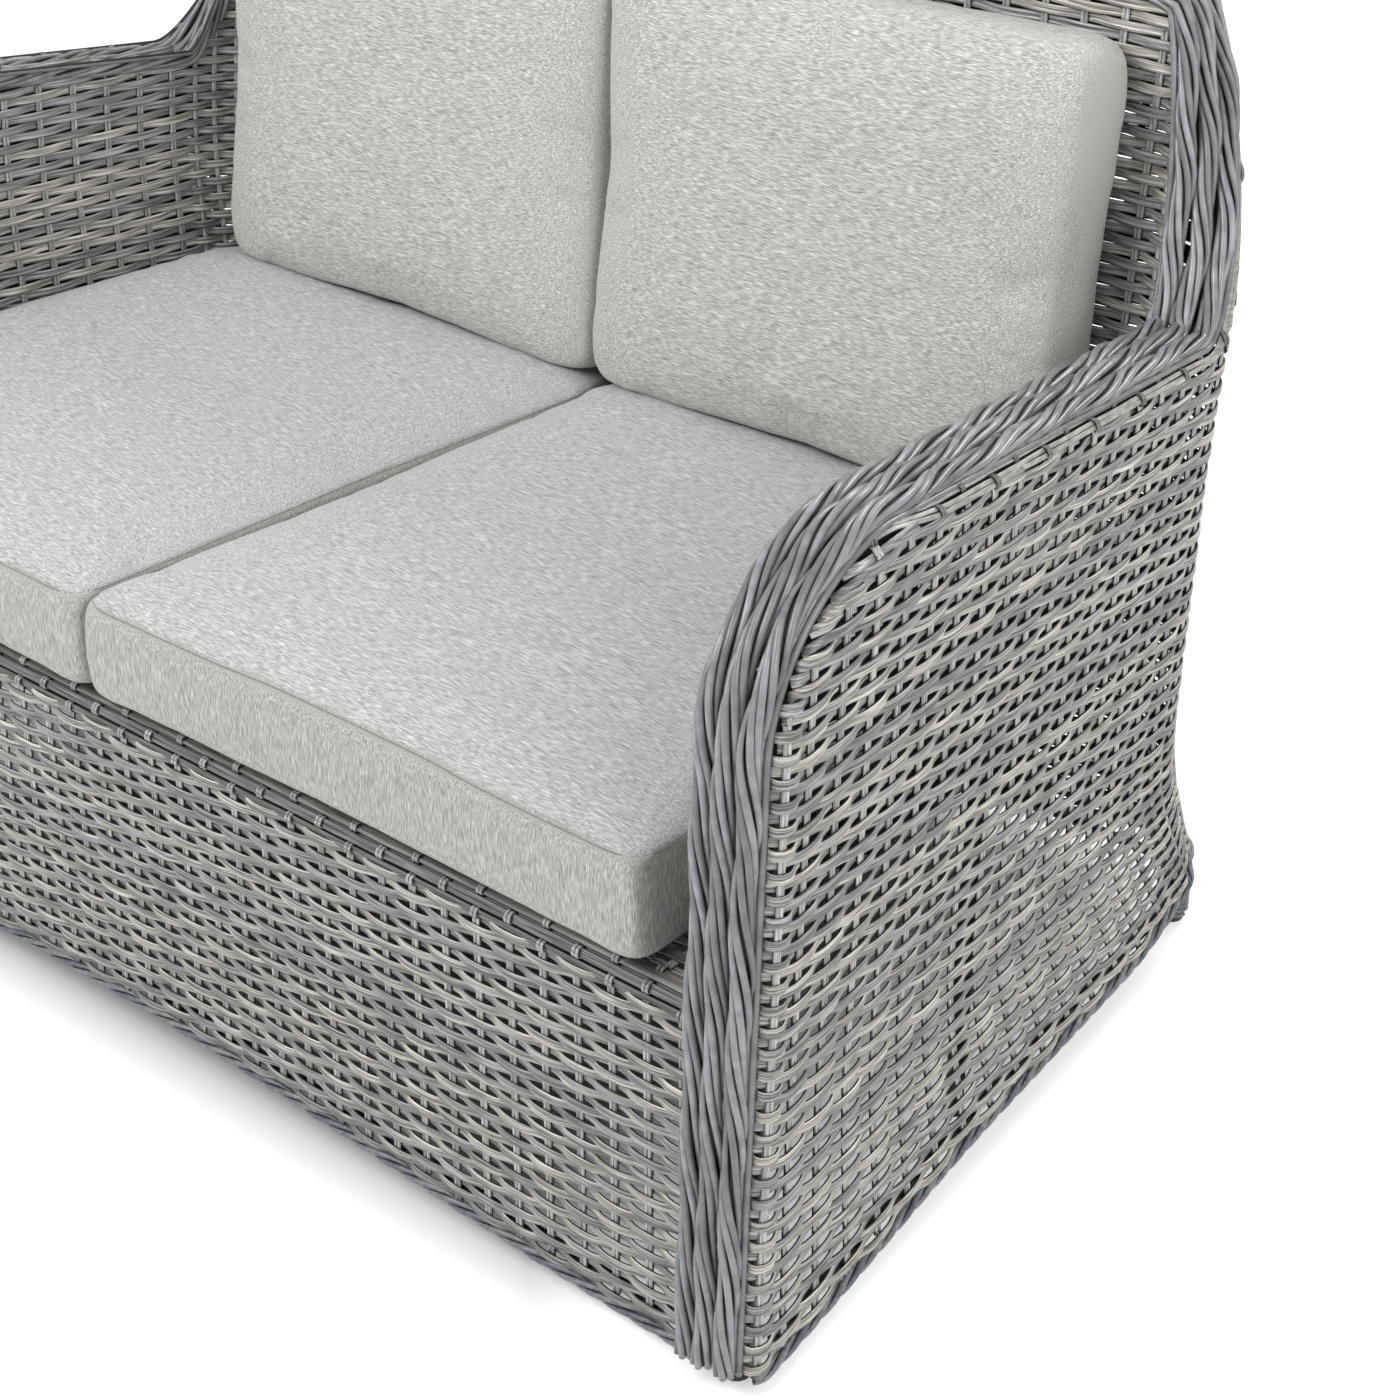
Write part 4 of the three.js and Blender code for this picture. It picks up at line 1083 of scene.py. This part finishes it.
def cover(mesh, name, node_name, mirrored):
    """Puts a mesh, or its mirror image, on a cushion's node."""
    if mirrored:
        mesh = mesh.copy()
        mesh.transform(Matrix.Scale(-1, 4, (1, 0, 0)))
        mesh.flip_normals()
    obj = bpy.data.objects.new(name, mesh)
    scene.collection.objects.link(obj)
    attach(obj, node_name)
    return obj


def cut_cloth(mesh, cloth_at):
    """Gives every face the canvas copy, with its painted light and shade, that lies at its middle."""
    mesh.materials.clear()
    for cloth in CANVAS:
        mesh.materials.append(cloth)
    for polygon in mesh.polygons:
        polygon.use_smooth = True
        polygon.material_index = cloth_at(polygon.center)


def seat_level(y):
    """Height of the seat cushions' seam."""
    return SEAM_HEIGHT * MM - (y - FRONT_PANEL_Y * MM) * math.sin(SEAT_SLOPE)


def seat_cloth_at(place):
    return TOP_CLOTH if place.z > seat_level(place.y) else WALL_CLOTH


def back_cloth_at(place):
    return BACK_CLOTH


def seam_mesh(loop):
    """A row of stitches along a seam."""
    strands = Strands()
    closed = np.concatenate([loop, loop[:2]]) / MM
    out = closed - closed.mean(0)
    out[:, 2] = np.abs(out[:, :2]).max(1)
    out = unit(out)
    section = round_section(STITCH_DIAMETER, STITCH_DIAMETER, STITCH_SIDES)
    strands.tube(closed - out * STITCH_INSET, out, section, 0)
    return strands.mesh("stitches", [THREAD, THREAD])


def dress_seat_cushions():
    mesh = cushion_mesh("seat_cushion_right", shrink=0.992)
    ruffle(mesh, 0.8 * MM)
    fit_to_box(
        mesh, "seat_cushion_right", -SEAT_SLOPE, SEAT_EDGE_ZONES,
        swell=FRONT_SWELL, clearance=SEAT_CLEARANCE,
    )
    loop = seam_loop(mesh, seat_level)
    draw_in(mesh, loop)
    cut_cloth(mesh, seat_cloth_at)
    stitches = seam_mesh(loop)
    for hand in ("right", "left"):
        node_name = f"seat_cushion_{hand}"
        soft = cover(mesh, f"{node_name}_cover", node_name, hand == "left")
        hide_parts(node_name)
        cover(stitches, f"{node_name}_seam", node_name, hand == "left")


def dress_back_cushions():
    mesh = cushion_mesh("back_cushion_right", shrink=0.99)
    fit_to_box(mesh, "back_cushion_right", BACK_REST_ANGLE, BACK_EDGE_ZONES)
    ruffle(mesh, 1.0 * MM)
    cut_cloth(mesh, back_cloth_at)
    for hand in ("right", "left"):
        node_name = f"back_cushion_{hand}"
        soft = cover(mesh, f"{node_name}_cover", node_name, hand == "left")
        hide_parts(node_name)


outer_weave()
inner_weave()
front_weave()
deck_weave()
rail_wrap()
plaited_rim()
rim_cords()
edge_ropes()
foot_windings()
dress_seat_cushions()
dress_back_cushions()

# Camera, at the photograph's place

YAW, PITCH = math.radians(41.28), math.radians(28.82)
CAMERA_PLACE = Vector((1775, -1649.2, 1495)) * MM
FOCAL_PIXELS, PICTURE_PIXELS, SENSOR = 2949, 1400, 36


def set_camera():
    across = Vector((-math.sin(YAW), math.cos(YAW), 0))
    forward = across * math.cos(PITCH) - Vector((0, 0, math.sin(PITCH)))
    right = Vector((math.cos(YAW), math.sin(YAW), 0))
    upward = right.cross(forward)
    camera = bpy.data.objects.new("camera", bpy.data.cameras.new("camera"))
    camera.data.lens = FOCAL_PIXELS / PICTURE_PIXELS * SENSOR
    camera.data.sensor_width = SENSOR
    turned = Matrix((right, upward, -forward)).transposed().to_4x4()
    camera.matrix_world = Matrix.Translation(CAMERA_PLACE) @ turned
    scene.collection.objects.link(camera)
    scene.camera = camera


# Floor, light and background

# Glossy rays see the world at full strength, brighter than the light it gives: a painted reflection on the
# glossy strands
WORLD_STRENGTH, SHOWN_STRENGTH = 0.55, 1.0
FLOOR_REACH = 30.0
# Painted floor shadow: under the sofa's footprint the floor loses its glow and its colour falls to the
# darker grey
SHADED_SPAN, FULL_SHADE = (0.57, 0.45), 0.7
FLOOR_GLOW = 0.42
FLOOR_UNDER, FLOOR_AROUND = 0.3, 0.9


def white_for_camera(tree):
    """1 for camera, glossy and transmission rays, and 0 for light that falls on the sofa; the brighter
    world and floor in glossy rays are a painted reflection.
    """
    path = tree.nodes.new("ShaderNodeLightPath")
    first = node(tree, "ShaderNodeMath", operation="MAXIMUM")
    tree.links.new(path.outputs["Is Camera Ray"], first.inputs[0])
    tree.links.new(path.outputs["Is Glossy Ray"], first.inputs[1])
    second = node(tree, "ShaderNodeMath", operation="MAXIMUM")
    tree.links.new(first.outputs[0], second.inputs[0])
    tree.links.new(path.outputs["Is Transmission Ray"], second.inputs[1])
    return second.outputs[0]


def set_background():
    world = bpy.data.worlds.new("studio")
    scene.world = world
    world.use_nodes = True
    tree = world.node_tree
    background = tree.nodes["Background"]
    background.inputs["Color"].default_value = (1, 1, 1, 1)
    strength = node(tree, "ShaderNodeMapRange")
    strength.inputs["To Min"].default_value = WORLD_STRENGTH
    strength.inputs["To Max"].default_value = SHOWN_STRENGTH
    tree.links.new(white_for_camera(tree), strength.inputs["Value"])
    tree.links.new(strength.outputs["Result"], background.inputs["Strength"])


def outside_footprint(tree):
    """Mask of the painted floor shadow: 0 under the middle of the sofa and 1 around it."""
    spot = tree.nodes.new("ShaderNodeTexCoord")
    reduced = tree.nodes.new("ShaderNodeMapping")
    reduced.inputs["Scale"].default_value = (1 / SHADED_SPAN[0], 1 / SHADED_SPAN[1], 1)
    positive = node(tree, "ShaderNodeVectorMath", operation="ABSOLUTE")
    parts = tree.nodes.new("ShaderNodeSeparateXYZ")
    outermost = node(tree, "ShaderNodeMath", operation="MAXIMUM")
    beyond = node(tree, "ShaderNodeMapRange")
    beyond.inputs["From Min"].default_value = FULL_SHADE
    beyond.inputs["From Max"].default_value = 1.0
    tree.links.new(spot.outputs["Object"], reduced.inputs["Vector"])
    tree.links.new(reduced.outputs["Vector"], positive.inputs[0])
    tree.links.new(positive.outputs["Vector"], parts.inputs["Vector"])
    tree.links.new(parts.outputs["X"], outermost.inputs[0])
    tree.links.new(parts.outputs["Y"], outermost.inputs[1])
    tree.links.new(outermost.outputs[0], beyond.inputs["Value"])
    return beyond.outputs["Result"]


def pale_floor():
    """White floor around the sofa with a painted shadow under it: less glow and a darker colour under the
    footprint, on top of the shadow the lamps cast.
    """
    material, tree, principled = shader("pale_floor", 0.9)
    principled.inputs["Specular IOR Level"].default_value = 0.0
    principled.inputs["Emission Color"].default_value = (1, 1, 1, 1)
    outside = outside_footprint(tree)
    seen = node(tree, "ShaderNodeMath", operation="MULTIPLY")
    tree.links.new(white_for_camera(tree), seen.inputs[0])
    tree.links.new(outside, seen.inputs[1])
    glow = node(tree, "ShaderNodeMapRange")
    glow.inputs["To Max"].default_value = FLOOR_GLOW
    tree.links.new(seen.outputs[0], glow.inputs["Value"])
    tree.links.new(glow.outputs["Result"], principled.inputs["Emission Strength"])
    stops = [(0.0, (FLOOR_UNDER,) * 3), (1.0, (FLOOR_AROUND,) * 3)]
    tree.links.new(ramp(tree, outside, stops), principled.inputs["Base Color"])
    return material


def lay_floor():
    corners = [(-1, -1), (1, -1), (1, 1), (-1, 1)]
    mesh = bpy.data.meshes.new("floor")
    mesh.from_pydata([(x * FLOOR_REACH, y * FLOOR_REACH, 0) for x, y in corners], [], [(0, 1, 2, 3)])
    mesh.materials.append(pale_floor())
    floor = bpy.data.objects.new("floor", mesh)
    scene.collection.objects.link(floor)


def area_light(name, place, aim, size, watts):
    lamp = bpy.data.lights.new(name, "AREA")
    lamp.shape = "DISK"
    lamp.size = size
    lamp.energy = watts
    obj = bpy.data.objects.new(name, lamp)
    obj.location = place
    obj.rotation_euler = (Vector(aim) - Vector(place)).to_track_quat("-Z", "Y").to_euler()
    scene.collection.objects.link(obj)


scene.view_settings.view_transform = "Standard"
set_camera()
set_background()
lay_floor()
area_light("key", (-1.2, -2.8, 3.2), (0, 0, 0.4), size=2.2, watts=95)
area_light("side", (3.4, -0.6, 2.6), (0.3, 0, 0.4), size=2.4, watts=55)
area_light("rear", (0.5, 3.2, 3.2), (0, 0, 0.5), size=1.6, watts=50)
